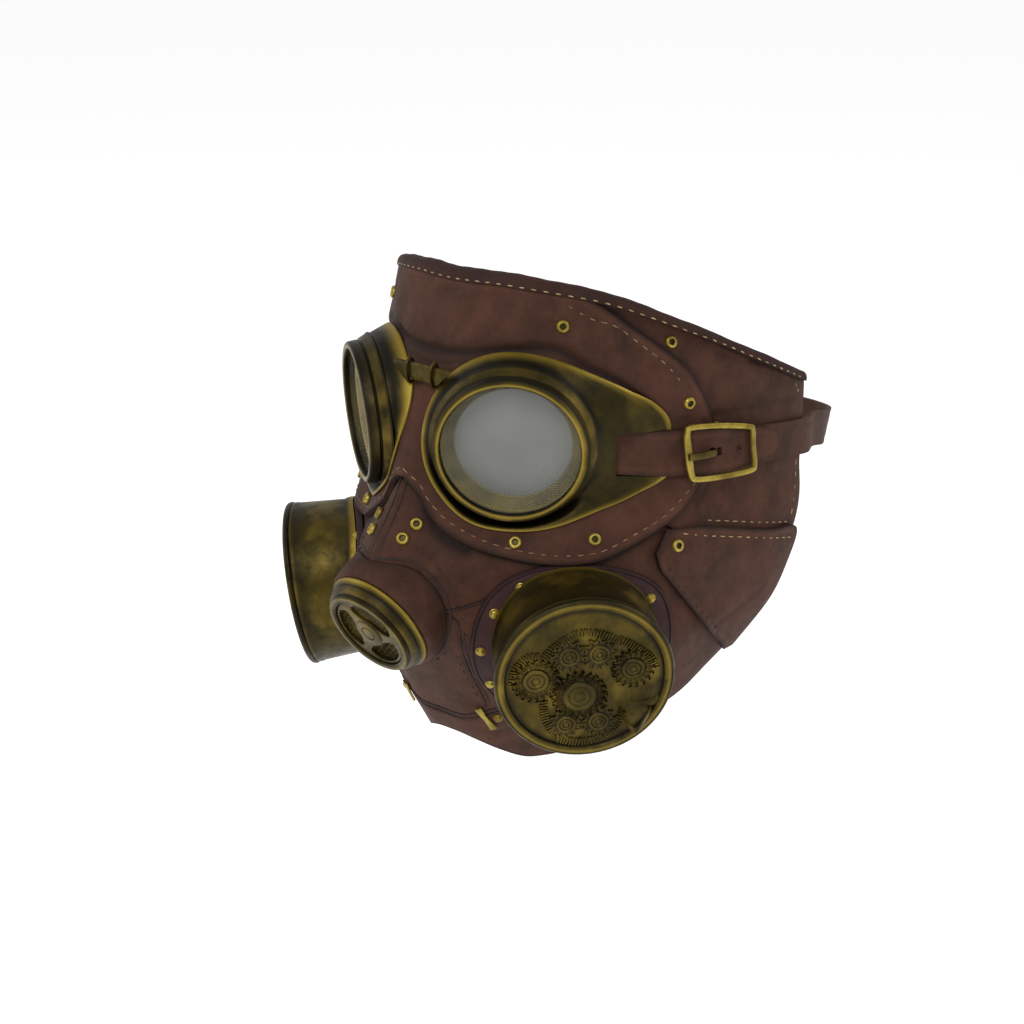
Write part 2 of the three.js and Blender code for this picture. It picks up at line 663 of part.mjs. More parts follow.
// A short slot or hole tool that points out of the face
function faceBox(angle, level, along, across) {
  const box = new THREE.BoxGeometry(along, across, farAlongAxis).translate(0, 0, farAlongAxis / 2);
  return box.applyMatrix4(placeFitting(skin(angle, level), angle, 0));
}

function addGoggleStraps() {
  const stations = [57, 60.5, 64, 67.5, 71, 74.7, 78.4, 81, 83, 85.8, 88.6, 91, 93, 96, 98.8, 101, 103,
    104.8, 106, 107.2];
  const rings = stations.map((angle) => {
    const width = alongRoute('width', angle) * goggleStrapWidth;
    return strapSection(angle, strapLevel(angle), width, strapLift(angle));
  });
  const slotLevel = strapLevel(buckleMiddleAngle);
  const slot = faceBox(buckleMiddleAngle - 1.6, slotLevel, prongSlotLength, prongWidth + 2 * seatGap);
  const hole = faceBox(strapHoleAngle, strapLevel(strapHoleAngle), strapHoleWidth, strapHoleWidth);
  const strap = cut(loft(rings), slot, hole);
  addPair(mask, 'goggle_strap', strap, materials.leather);
}

// A round wire through points of the face, given as angle, level and lift
function wire(points, thickness, closed, sides = 6) {
  const places = points.map(([angle, level, lift]) => skin(angle, level, lift));
  const route = new THREE.CatmullRomCurve3(places, closed, 'centripetal');
  return bar(route, thickness, thickness, Math.round(places.length * 1.4), sides, closed);
}

// A bar along a route, its width kept along the face and its depth out of it
function bar(route, width, depth, steps, sides, closed = false) {
  const rings = [];
  const count = closed ? steps : steps + 1;
  for (let i = 0; i < count; i += 1) {
    const t = i / steps;
    const centre = route.getPoint(t);
    const forward = route.getTangent(t);
    const out = new THREE.Vector3(centre.x, centre.y - headAxisDepth, 0).normalize();
    const across = new THREE.Vector3().crossVectors(forward, out).normalize();
    out.crossVectors(across, forward).normalize();
    const ring = [];
    for (let k = 0; k < sides; k += 1) {
      const turn = 2 * Math.PI * (k + 0.5) / sides;
      ring.push(centre.clone()
        .addScaledVector(across, Math.cos(turn) * width / 2)
        .addScaledVector(out, Math.sin(turn) * depth / 2));
    }
    rings.push(ring);
  }
  return loft(rings, closed);
}

// The buckle: an outer frame over the strap, and a middle bar under it that carries the prong
function addBuckles() {
  const group = new THREE.Group();
  const overStrap = (angle) => strapLift(angle) + strapThickness + 2 * seatGap + buckleWire / 2;
  const half = (angle) => alongRoute('width', angle) * goggleStrapWidth / 2 + seatGap + buckleWire / 2;
  const corner = 1.4; // degrees that the rounded corners take
  const sideLift = overStrap(buckleFrontAngle);
  const frontHalf = half(buckleFrontAngle);
  const rearHalf = half(buckleRearAngle);
  const frontLevel = strapLevel(buckleFrontAngle);
  const rearLevel = strapLevel(buckleRearAngle);
  const middleLevel = strapLevel(buckleMiddleAngle);
  const middleHalf = half(buckleMiddleAngle);
  const rearLift = overStrap(buckleRearAngle);
  const bend = corner * 1.4;
  const loop = [
    [buckleFrontAngle, frontLevel, sideLift],
    [buckleFrontAngle, frontLevel + frontHalf - bend, sideLift],
    [buckleFrontAngle + corner, frontLevel + frontHalf, sideLift],
    [buckleMiddleAngle, middleLevel + middleHalf, sideLift],
    [buckleRearAngle - corner, rearLevel + rearHalf, rearLift],
    [buckleRearAngle, rearLevel + rearHalf - bend, rearLift],
    [buckleRearAngle, rearLevel, rearLift],
    [buckleRearAngle, rearLevel - rearHalf + bend, rearLift],
    [buckleRearAngle - corner, rearLevel - rearHalf, rearLift],
    [buckleMiddleAngle, middleLevel - middleHalf, sideLift],
    [buckleFrontAngle + corner, frontLevel - frontHalf, sideLift],
    [buckleFrontAngle, frontLevel - frontHalf + bend, sideLift],
  ];
  const barWire = buckleWire * 0.8;
  const barLift = strapLift(buckleMiddleAngle) - seatGap - barWire / 2;
  const cross = [
    [buckleMiddleAngle, middleLevel + middleHalf, sideLift],
    [buckleMiddleAngle, middleLevel + middleHalf - 0.4, barLift],
    [buckleMiddleAngle, middleLevel, barLift],
    [buckleMiddleAngle, middleLevel - middleHalf + 0.4, barLift],
    [buckleMiddleAngle, middleLevel - middleHalf, sideLift],
  ];
  const frame = join(wire(loop, buckleWire, true, 5), wire(cross, barWire, false, 5));
  addPair(group, 'buckle_frame', frame, materials.brightBrass);
  const tipLift = sideLift + buckleWire / 2 + seatGap + 0.8;
  const overTop = strapLift(buckleMiddleAngle) + strapThickness;
  const prongPoints = [
    [buckleMiddleAngle - 0.95, middleLevel, barLift],
    [buckleMiddleAngle - 1.5, middleLevel, barLift + 1.6],
    [buckleMiddleAngle - 2.6, middleLevel, overTop + 0.6],
    [buckleMiddleAngle - 5, middleLevel, tipLift - 0.4],
    [buckleFrontAngle + 0.5, middleLevel, tipLift],
    [buckleFrontAngle - 0.9, middleLevel, tipLift - 0.1],
  ].map(([angle, level, lift]) => skin(angle, level, lift));
  const prong = bar(new THREE.CatmullRomCurve3(prongPoints, false, 'centripetal'), prongWidth, 1.5, 8, 5);
  addPair(group, 'buckle_prong', prong, materials.brass);
  mask.add(group);
}

// Route of the head strap on the mask, from the buckle's middle bar to the back edge
const headStrapStart = [
  { angle: 89.8, level: -0.036, lift: 3.4 },
  { angle: 92, level: -0.037, lift: 3 },
  { angle: 95, level: -0.039, lift: 2 },
  { angle: 99, level: -0.042, lift: 1.3 },
  { angle: 105, level: -0.047, lift: 1 },
  { angle: 112, level: -0.053, lift: 0.7 },
  { angle: 118, level: -0.059, lift: 0.5 },
  { angle: 124, level: -0.066, lift: 0.4 },
];
const headLoopDrop = 0.09; // how far it falls behind the head, as a share of maskHeight
const headLoopLean = 4; // and how far its lower edge leans in under the head

function addHeadStrap() {
  const rings = headStrapStart.map((row) => (
    strapSection(row.angle, row.level * maskHeight, headStrapWidth, row.lift)
  ));
  const last = headStrapStart[headStrapStart.length - 1];
  const leaving = skin(last.angle, last.level * maskHeight);
  const headLoopCentre = headAxisDepth + headLoopSetback;
  const firstTurn = Math.asin((leaving.y - headLoopCentre) / headLoopDepth) + 0.09;
  const steps = 9;
  for (let i = 0; i <= steps; i += 1) {
    const turn = firstTurn + (Math.PI / 2 - firstTurn) * i / steps;
    const level = last.level * maskHeight - headLoopDrop * maskHeight * Math.sin(Math.PI / 2 * i / steps);
    const lean = headLoopLean * Math.min(1, i / 3);
    const at = (lift, up) => {
      const out = lift - (up < 0 ? lean : 0);
      return new THREE.Vector3(
        (headLoopHalfWidth + out) * Math.cos(turn),
        headLoopCentre + (headLoopDepth + out) * Math.sin(turn),
        level + up * headStrapWidth / 2,
      );
    };
    rings.push([at(strapThickness, -1), at(strapThickness, 1), at(0, 1), at(0, -1)]);
  }
  const other = rings.slice(0, -1).reverse().map((ring) => (
    ring.map((point) => new THREE.Vector3(-point.x, point.y, point.z))
  ));
  addPiece(mask, 'head_strap', loft([...rings, ...other]), materials.leather);
}

// A ring pad that follows the face under a fitting, from a bore to an outline
function facePad(place, segments, profile) {
  const rings = [];
  for (let i = 0; i < segments; i += 1) {
    const angle = 360 * i / segments;
    const x = Math.cos(degrees(angle));
    const y = Math.sin(degrees(angle));
    const under = (radius, lift) => faceBehind(place, radius * x, radius * y, lift);
    rings.push(profile(angle, under).map(([radius, height]) => (
      new THREE.Vector3(radius * x, radius * y, height)
    )));
  }
  return loft(rings, true);
}

function addValve() {
  const group = new THREE.Group();
  const collarBore = valveInnerRadius + seatGap;
  const collar = facePad(valvePlace, roundSegments, (angle, under) => [
    [collarBore, collarFront],
    [collarFrontRadius - 0.8, collarFront],
    [collarFrontRadius, collarFront - 0.9],
    [collarBaseRadius, under(collarBaseRadius, innerLayer.over + layerGap)],
    [(collarBaseRadius + collarBore) / 2, under((collarBaseRadius + collarBore) / 2, innerLayer.over + layerGap)],
    [collarBore, under(collarBore, innerLayer.over + layerGap)],
  ]);
  addPiece(group, 'valve_collar', collar, materials.leather, valvePlace);
  const ringBack = collarFront + seatGap;
  const body = turned([
    [grilleRadius + seatGap, -10], [valveInnerRadius, -10], [valveInnerRadius, ringBack],
    [valveRingRadius, ringBack], [valveRingRadius, -5.4], [valveInnerRadius + 1, -1],
    [valveInnerRadius, -0.8], [valveInnerRadius - 0.4, 1], [grilleRadius + seatGap, 1],
  ]);
  addPiece(group, 'valve_ring', body, materials.brass, valvePlace);
  const hubRadius = grilleRadius * 0.42;
  const grille = turned([
    [0, -grilleThickness - 1], [grilleRadius, -grilleThickness - 1], [grilleRadius, -1],
    [hubRadius, -1], [hubRadius, 0], [0, 0],
  ]);
  addPiece(group, 'valve_grille', grille, materials.brass, valvePlace);
  mask.add(group);
}

// Outline of the canister's leather flange, as shares of flangeRadius round the canister's axis
const flangeOutline = [
  { angle: -60, radius: 1.02 },
  { angle: 0, radius: 0.97 },
  { angle: 30, radius: 0.96 },
  { angle: 60, radius: 0.85 },
  { angle: 90, radius: 0.8 },
  { angle: 120, radius: 0.85 },
  { angle: 150, radius: 0.96 },
  { angle: 190, radius: 1.01 },
  { angle: 230, radius: 1.03 },
  { angle: 300, radius: 1.02 },
];

// Gears cast on the canister's face: centre and tip radius as shares of canisterRadius
const gears = [
  { x: -0.05, y: -0.21, radius: 0.31, teeth: 14, hub: 0.6 },
  { x: -0.54, y: 0.01, radius: 0.27, teeth: 12, hub: 0.55 },
  { x: -0.18, y: 0.3, radius: 0.2, teeth: 8, hub: 0.6 },
  { x: 0.15, y: 0.32, radius: 0.2, teeth: 8, hub: 0.6 },
  { x: 0.53, y: 0.12, radius: 0.24, teeth: 11, hub: 0.55 },
  { x: -0.19, y: -0.57, radius: 0.19, teeth: 8, hub: 0.6 },
  { x: 0.17, y: -0.55, radius: 0.2, teeth: 8, hub: 0.6 },
];

function gear({ x, y, radius, teeth }, thickness) {
  const tip = radius * canisterRadius;
  const root = tip * 0.84;
  const shape = new THREE.Shape();
  const pitch = 2 * Math.PI / teeth;
  const spot = (r, turn) => [r * Math.cos(turn), r * Math.sin(turn)];
  shape.moveTo(...spot(root, 0));
  for (let i = 0; i < teeth; i += 1) {
    if (i > 0) shape.lineTo(...spot(root, i * pitch));
    shape.lineTo(...spot(tip, (i + 0.5) * pitch));
  }
  shape.closePath();
  const solid = new THREE.ExtrudeGeometry(shape, { depth: thickness, bevelEnabled: false });
  return solid.translate(x * canisterRadius, y * canisterRadius, 0);
}

function addCanisters() {
  const group = new THREE.Group();
  const knots = flangeOutline.map((row) => row.angle);
  const shares = flangeOutline.map((row) => row.radius);
  const flangeUnder = innerLayer.over + layerGap;
  const flangeOver = flangeUnder + flangeThickness;
  const flange = facePad(canisterPlace, roundSegments, (angle, under) => {
    const edge = flangeRadius * curve(knots, shares, angle > 300 ? angle - 360 : angle);
    const middle = (flangeBore + edge) / 2;
    return [
      [flangeBore, under(flangeBore, flangeOver)],
      [middle, under(middle, flangeOver)],
      [edge, under(edge, flangeOver)],
      [edge, under(edge, flangeUnder)],
      [middle, under(middle, flangeUnder)],
      [flangeBore, under(flangeBore, flangeUnder)],
    ];
  });
  addPair(group, 'canister_flange', flange, materials.flangeLeather, canisterPlace);
  const wallFront = -canisterFaceThickness - seatGap;
  const wall = facePad(canisterPlace, roundSegments, (angle, under) => {
    const outerFoot = under(canisterRearRadius, flangeOver + seatGap);
    const innerFoot = under(canisterRearRadius - canisterWall, flangeOver + seatGap);
    return [
      [canisterRadius - 0.6 - canisterWall, wallFront],
      [canisterRadius - 0.6, wallFront],
      [canisterRearRadius, outerFoot],
      [canisterRearRadius - canisterWall, innerFoot],
    ];
  });
  addPair(group, 'canister_body', wall, materials.brass, canisterPlace);
  const plateFront = -1.2;
  const rim = turned([
    [0, -canisterFaceThickness], [canisterRadius - 0.5, -canisterFaceThickness],
    [canisterRadius, -canisterFaceThickness + 0.8], [canisterRadius - 0.6, -0.5],
    [canisterRadius - 1.6, 0], [faceRecessRadius + 0.8, 0], [faceRecessRadius, plateFront],
    [0, plateFront],
  ]);
  const wheels = gears.map((row) => gear(row, gearRelief + 0.3).translate(0, 0, plateFront - 0.3));
  const hubs = gears.map((row) => {
    const radius = row.radius * row.hub * canisterRadius;
    const top = plateFront + gearRelief + 0.5;
    return turned([[0, plateFront], [radius, plateFront], [radius, top], [0, top]], 7)
      .translate(row.x * canisterRadius, row.y * canisterRadius, 0);
  });
  addPair(group, 'canister_face', join(rim, ...wheels, ...hubs), materials.brass, canisterPlace);
  const raised = plateFront + 2 * seatGap;
  const tabRoute = new THREE.CatmullRomCurve3([
    new THREE.Vector3(0.41, -0.42, 0),
    new THREE.Vector3(0.44, -0.45, 0.12),
    new THREE.Vector3(0.53, -0.5, 0.29),
    new THREE.Vector3(0.66, -0.45, 0.14),
    new THREE.Vector3(0.75, -0.41, 0),
  ].map((point) => point.multiplyScalar(canisterRadius).add(new THREE.Vector3(0, 0, raised))));
  addPair(group, 'canister_loop', flatBar(tabRoute, tabWidth, tabThickness, 8), materials.brightBrass,
    canisterPlace);
  mask.add(group);
}

// A flat bar standing on a fitting's face, its width lying across local Y
function flatBar(route, width, thickness, steps) {
  const rings = [];
  for (let i = 0; i <= steps; i += 1) {
    const centre = route.getPoint(i / steps);
    const forward = route.getTangent(i / steps);
    const across = new THREE.Vector3(0, 1, 0);
    const out = new THREE.Vector3().crossVectors(forward, across).normalize();
    rings.push([[-1, -1], [1, -1], [1, 1], [-1, 1]].map(([a, b]) => centre.clone()
      .addScaledVector(across, a * width / 2)
      .addScaledVector(out, b * thickness / 2)));
  }
  return loft(rings);
}

// Brass clips stapled over the chin's side seams: a row for each end and bend
const clipRoute = [
  { angle: 15.6, level: -0.539 },
  { angle: 16.6, level: -0.555 },
  { angle: 17.8, level: -0.571 },
  { angle: 19, level: -0.588 },
];

function addClips() {
  const under = innerLayer.over + seatGap;
  const rings = clipRoute.map(({ angle, level }) => {
    const reach = clipWidth / 2 / faceRadius(angle, level * maskHeight) * 180 / Math.PI;
    return [[-1, 1], [1, 1], [1, 0], [-1, 0]].map(([side, over]) => (
      skin(angle + side * reach, level * maskHeight, under + over * clipThickness)
    ));
  });
  addPair(mask, 'chin_clip', loft(rings), materials.brightBrass);
}

// Eyelets: where each sits, and the layer of leather that it is set in. Its level is a share of
// maskHeight, or it lies below the lens centres by a share of rimRadius
const eyelets = [
  { name: 'eyelet_brow', angle: 41.2, level: 0.213, layer: outerLayer, seat: seatGap },
  { name: 'eyelet_temple_upper', angle: 76.8, level: 0.173, layer: innerLayer, seat: seatGap },
  { name: 'eyelet_temple_lower', angle: 80.9, level: 0.058, layer: outerLayer, seat: seatGap },
  { name: 'eyelet_goggle_front', angle: 29, below: 1.132, layer: outerLayer, seat: seatGap },
  { name: 'eyelet_goggle_back', angle: 49.9, below: 1.081, layer: outerLayer, seat: seatGap },
  { name: 'eyelet_cheek', angle: 73, level: -0.198, layer: outerLayer, seat: seatGap },
  { name: 'eyelet_nose_upper', angle: 6.1, level: -0.148, layer: innerLayer, seat: layerGap },
  { name: 'eyelet_nose_lower', angle: 4.7, level: -0.171, layer: innerLayer, seat: layerGap },
];

// A fitting's place square on the face, with its foot just clear of the leather
function placeOnFace(angle, level, lift) {
  const step = 1;
  const along = skin(angle + step, level).sub(skin(angle - step, level)).normalize();
  const up = skin(angle, level + step).sub(skin(angle, level - step)).normalize();
  const out = new THREE.Vector3().crossVectors(along, up).normalize();
  const square = new THREE.Vector3().crossVectors(out, along);
  return new THREE.Matrix4().makeBasis(along, square, out).setPosition(skin(angle, level, lift));
}

function addEyelets() {
  const ring = turned([
    [eyeletBore, 0], [eyeletRadius, 0], [(eyeletRadius + eyeletBore) / 2, eyeletHeight],
  ], 6);
  for (const { name, angle, level, below, layer, seat } of eyelets) {
    const height = below ? -below * rimRadius : level * maskHeight;
    const place = placeOnFace(angle, height, layer.over + seat);
    addPair(mask, name, ring, materials.brightBrass, place);
  }
}

addLeather();
addBinding();
addGoggles();
addBridge();
addGoggleStraps();
addBuckles();
addHeadStrap();
addValve();
addCanisters();
addClips();
addEyelets();

export default mask;
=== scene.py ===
# Dresses a costume mask in the style of an old gas mask: leather panels with seams and stitches,
# brass goggles, a grilled valve, canisters with cast gears, straps and buckles.
# Each piece is worked out in millimetres from the point midway between the two lens centres,
# and settled in the frame as it is finished. Angles run round the head, in degrees from the nose.
import math

import bpy
import numpy as np
from mathutils import Matrix, Vector


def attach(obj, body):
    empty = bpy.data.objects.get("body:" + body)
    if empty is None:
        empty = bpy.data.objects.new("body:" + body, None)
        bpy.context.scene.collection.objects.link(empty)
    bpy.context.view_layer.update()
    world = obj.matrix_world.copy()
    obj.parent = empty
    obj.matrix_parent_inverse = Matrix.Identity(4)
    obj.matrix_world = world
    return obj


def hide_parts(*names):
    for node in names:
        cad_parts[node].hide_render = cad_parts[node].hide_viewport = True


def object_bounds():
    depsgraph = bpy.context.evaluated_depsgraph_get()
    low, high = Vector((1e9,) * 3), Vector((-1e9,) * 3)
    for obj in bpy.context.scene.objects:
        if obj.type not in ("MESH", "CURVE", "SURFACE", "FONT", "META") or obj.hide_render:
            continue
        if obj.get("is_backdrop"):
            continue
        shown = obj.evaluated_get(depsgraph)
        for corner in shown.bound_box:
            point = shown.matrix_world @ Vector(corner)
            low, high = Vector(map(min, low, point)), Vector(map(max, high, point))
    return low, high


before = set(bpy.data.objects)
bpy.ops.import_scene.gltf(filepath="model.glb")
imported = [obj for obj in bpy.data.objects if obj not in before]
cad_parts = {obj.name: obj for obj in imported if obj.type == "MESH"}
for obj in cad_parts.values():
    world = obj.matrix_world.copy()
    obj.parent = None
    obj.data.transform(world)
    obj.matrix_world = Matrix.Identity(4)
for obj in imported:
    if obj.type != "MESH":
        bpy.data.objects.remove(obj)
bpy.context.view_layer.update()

face = {
    "height": 206,  # forehead edge to chin
    "halfWidth": 84,
    "axisDepth": 75,  # upright head axis behind the lens centres
    "leather": 2,
    "layerGap": 0.8,
    "seatGap": 0.35,
    "bindingHeight": 4.2,
    "bindingProud": 0.7,
    "underBinding": 1.4,  # how far the panels reach up inside the binding
    "seatLevel": 40,  # the frame's origin, inside the brow
}
innerOver = 0  # lift of the top of each layer of panels off the face
outerOver = face["layerGap"] + face["leather"]

# Level of a section as a share of the height, then its radii at sectionAngles as shares of the half width
sectionAngles = [0, 10, 26, 46, 70, 95, 128]
sections = [
    (-0.689, 0.702, 0.694, 0.66, 0.623, 0.581, 0.574, 0.623),
    (-0.592, 0.833, 0.831, 0.788, 0.716, 0.705, 0.726, 0.777),
    (-0.505, 0.94, 0.939, 0.898, 0.843, 0.837, 0.839, 0.901),
    (-0.388, 1.119, 1.105, 1.042, 0.958, 0.978, 0.966, 1.09),
    (-0.301, 1.262, 1.202, 1.03, 0.975, 0.984, 0.994, 1.167),
    (-0.218, 1.298, 1.193, 1.005, 0.985, 0.981, 1.002, 1.217),
    (-0.107, 1.129, 1.002, 0.872, 0.886, 0.899, 0.964, 1.207),
    (0, 1.016, 0.931, 0.825, 0.802, 0.826, 0.933, 1.205),
    (0.117, 0.885, 0.882, 0.826, 0.811, 0.844, 0.933, 1.184),
    (0.218, 0.789, 0.794, 0.787, 0.765, 0.795, 0.88, 1.143),
    (0.311, 0.672, 0.676, 0.692, 0.715, 0.774, 0.849, 1.054),
]
# Angle and level of the top edge
topLine = [(0, 0.298), (20, 0.299), (40, 0.287), (60, 0.262), (87, 0.194), (103, 0.139), (121, 0.07)]
topEdgeEnd = topLine[-1][0]


# Smooth curve through uneven knots, straight on past its ends
def curve(knots, values, at):
    knots = np.asarray(knots, float)
    at = np.atleast_1d(np.asarray(at, float))
    values = np.asarray(values, float)
    if values.ndim == 1:
        values = np.repeat(values[:, None], at.size, 1)
    count = len(knots)
    before = np.maximum(np.arange(count) - 1, 0)
    after = np.minimum(np.arange(count) + 1, count - 1)
    slopes = (values[after] - values[before]) / (knots[after] - knots[before])[:, None]
    i = np.clip(np.searchsorted(knots, at, side="right") - 1, 0, count - 2)
    column = np.arange(at.size)
    width = knots[i + 1] - knots[i]
    t = (at - knots[i]) / width
    inside = (2 * t**3 - 3 * t**2 + 1) * values[i, column]
    inside += (t**3 - 2 * t**2 + t) * width * slopes[i, column]
    inside += (3 * t**2 - 2 * t**3) * values[i + 1, column]
    inside += (t**3 - t**2) * width * slopes[i + 1, column]
    low = values[0] + slopes[0] * (at - knots[0])
    high = values[-1] + slopes[-1] * (at - knots[-1])
    return np.where(at <= knots[0], low, np.where(at >= knots[-1], high, inside))


sectionLevels = [row[0] * face["height"] for row in sections]
sectionRadii = [[row[i + 1] * face["halfWidth"] for row in sections] for i in range(len(sectionAngles))]
angleKnots = [-sectionAngles[1]] + sectionAngles


def faceRadius(angle, level):
    radii = [curve(sectionLevels, column, level) for column in sectionRadii]
    return curve(angleKnots, np.array([radii[1]] + radii), np.abs(angle))


# Points on the face, or lifted off it
def skin(angle, level, lift=0):
    angle, level, lift = np.broadcast_arrays(
        np.atleast_1d(np.asarray(angle, float)), np.asarray(level, float), np.asarray(lift, float)
    )
    radius = faceRadius(angle, level) + lift
    turn = np.radians(angle)
    return np.stack([radius * np.sin(turn), face["axisDepth"] - radius * np.cos(turn), level], 1)


def topEdge(angle):
    knots = [-topLine[1][0]] + [row[0] for row in topLine]
    levels = [topLine[1][1]] + [row[1] for row in topLine]
    return curve(knots, levels, np.abs(angle)) * face["height"]


def smooth(t):
    t = np.clip(t, 0, 1)
    return t * t * (3 - 2 * t)


# 1 at no distance, and falling away softly over the width
def near(distance, width):
    return np.exp(-((distance / width) ** 2))


# Rows of vectors, each made one long
def unit(rows):
    return rows / np.linalg.norm(rows, axis=1)[:, None]


# A round section drawn towards a square: the shares across and out for a turn
def squared(turn, power):
    across, out = np.cos(turn), np.sin(turn)
    return np.sign(across) * np.abs(across) ** power, np.sign(out) * np.abs(out) ** power


# Angle round the head, level and radius of points
def aroundHead(points):
    angle = np.degrees(np.arctan2(points[:, 0], face["axisDepth"] - points[:, 1]))
    radius = np.hypot(points[:, 0], points[:, 1] - face["axisDepth"])
    return angle, points[:, 2], radius


# The frame: metres, with its origin inside the brow
seatDepth = skin(0, face["seatLevel"], face["layerGap"])[0, 1]
toFrame = Matrix.Scale(0.001, 4) @ Matrix.Translation((0, -seatDepth, -face["seatLevel"]))
flip = Matrix.Diagonal((-1, 1, 1, 1))


# Where a fitting sits: local Z along its axis, local X towards its side and local Y up
def fittingPlace(centre, yaw, pitch, heightShare=1):
    turn = math.radians(yaw)
    tip = math.radians(pitch)
    across = Vector((math.cos(turn), math.sin(turn), 0))
    axis = Vector((math.sin(turn) * math.cos(tip), -math.cos(turn) * math.cos(tip), -math.sin(tip)))
    up = axis.cross(across) * heightShare
    return Matrix((
        (across.x, up.x, axis.x, centre[0]),
        (across.y, up.y, axis.y, centre[1]),
        (across.z, up.z, axis.z, centre[2]),
        (0, 0, 0, 1),
    ))


# A spot on the leather, with local Z out of it and local X round the head, turned by roll
def spotPlace(angle, level, lift, roll=0):
    step = 1
    along = Vector(skin(angle + step, level)[0] - skin(angle - step, level)[0]).normalized()
    rise = Vector(skin(angle, level + step)[0] - skin(angle, level - step)[0]).normalized()
    out = along.cross(rise).normalized()
    square = out.cross(along)
    place = Matrix.Identity(4)
    for i, axis in enumerate((along, square, out)):
        place.col[i] = (*axis, 0)
    place.translation = skin(angle, level, lift)[0]
    return place @ Matrix.Rotation(roll, 4, "Z")


# Moves points by a place
def placed(points, place):
    matrix = np.array(place)
    return points @ matrix[:3, :3].T + matrix[:3, 3]


# How far back along a fitting's axis the lifted face lies, under local x and y
def faceBehind(place, x, y, lift):
    x, y = np.broadcast_arrays(np.atleast_1d(np.asarray(x, float)), np.asarray(y, float))

    def outside(height):
        angle, level, radius = aroundHead(placed(np.stack([x, y, height], 1), place))
        return radius > faceRadius(angle, level) + lift

    step = 1.5
    above = np.full(x.shape, 12.0)
    for _ in range(60):
        above = np.where(outside(above - step), above - step, above)
    below = above - step
    for _ in range(14):
        middle = (above + below) / 2
        clear = outside(middle)
        above = np.where(clear, middle, above)
        below = np.where(clear, below, middle)
    return above


# Mesh tools
def only(obj):
    bpy.ops.object.select_all(action="DESELECT")
    obj.select_set(True)
    bpy.context.view_layer.objects.active = obj
    return obj


def readPoints(obj):
    points = np.empty(len(obj.data.vertices) * 3)
    obj.data.vertices.foreach_get("co", points)
    return points.reshape(-1, 3)


def writePoints(obj, points):
    obj.data.vertices.foreach_set("co", np.asarray(points, float).ravel())
    obj.data.update()


def markPoints(obj, name, values):
    layer = obj.data.attributes.get(name) or obj.data.attributes.new(name, "FLOAT", "POINT")
    layer.data.foreach_set("value", np.asarray(values, np.float32))


def applied(obj, kind, **settings):
    only(obj)
    modifier = obj.modifiers.new(kind.lower(), kind)
    for key, value in settings.items():
        setattr(modifier, key, value)
    bpy.ops.object.modifier_apply(modifier=modifier.name)
    return obj


def sealed(obj, caps=True):
    only(obj)
    bpy.ops.object.mode_set(mode="EDIT")
    bpy.ops.mesh.select_all(action="SELECT")
    bpy.ops.mesh.remove_doubles(threshold=0.002)
    if caps:
        bpy.ops.mesh.fill_holes(sides=0)
    bpy.ops.mesh.select_all(action="SELECT")
    bpy.ops.mesh.normals_make_consistent(inside=False)
    bpy.ops.object.mode_set(mode="OBJECT")
    return obj


def remove(obj):
    bpy.data.objects.remove(obj)


def copied(obj):
    other = obj.copy()
    other.data = obj.data.copy()
    bpy.context.scene.collection.objects.link(other)
    return other


# A grid laid over a form: place gives the points for shares u along and v across it
def wrapped(name, columns, rows, place):
    bpy.ops.mesh.primitive_grid_add(x_subdivisions=columns, y_subdivisions=rows, size=1)
    obj = bpy.context.object
    obj.name = name
    points = readPoints(obj)
    writePoints(obj, place(points[:, 0] + 0.5, points[:, 1] + 0.5))
    return obj


# A turned piece: the first ring of the profile is drawn out ring by ring, then closed
def turnedPiece(name, profile, steps=96):
    onAxis = 0.0008  # a ring this small is drawn together to one point
    ring, height = max(profile[0][0], onAxis), profile[0][1]
    bpy.ops.mesh.primitive_circle_add(vertices=steps, radius=ring, location=(0, 0, height))
    obj = bpy.context.object
    obj.name = name
    bpy.ops.object.transform_apply(location=True)
    bpy.ops.object.mode_set(mode="EDIT")
    bpy.ops.mesh.select_all(action="SELECT")
    for nextRadius, nextHeight in profile[1:]:
        bpy.ops.mesh.extrude_region_move(TRANSFORM_OT_translate={"value": (0, 0, nextHeight - height)})
        grow = max(nextRadius, onAxis) / ring
        bpy.ops.transform.resize(value=(grow, grow, 1), center_override=(0, 0, nextHeight))
        ring = max(nextRadius, onAxis)
        height = nextHeight
    bpy.ops.object.mode_set(mode="OBJECT")
    return sealed(obj)


# A closed form through rings: ring gives the points for shares u along and v round it
def swept(name, along, around, ring, closed=False):
    obj = wrapped(name, along, around, ring)
    return sealed(obj, caps=not closed)


def cutBy(obj, *cutters):
    for cutter in cutters:
        applied(obj, "BOOLEAN", operation="DIFFERENCE", solver="EXACT", object=cutter)
    for cutter in cutters:
        remove(cutter)
    return obj


def boreCutter(radius, low, high, place, steps=96):
    bpy.ops.mesh.primitive_cylinder_add(
        vertices=steps, radius=radius, depth=high - low, location=(0, 0, (low + high) / 2)
    )
    obj = bpy.context.object
    bpy.ops.object.transform_apply(location=True)
    obj.data.transform(place)
    if place.determinant() < 0:
        obj.data.flip_normals()
    return obj


def boxPiece(name, size, centre=(0, 0, 0)):
    bpy.ops.mesh.primitive_cube_add(size=1, location=centre)
    obj = bpy.context.object
    obj.name = name
    obj.scale = size
    bpy.ops.object.transform_apply(location=True, scale=True)
    return obj


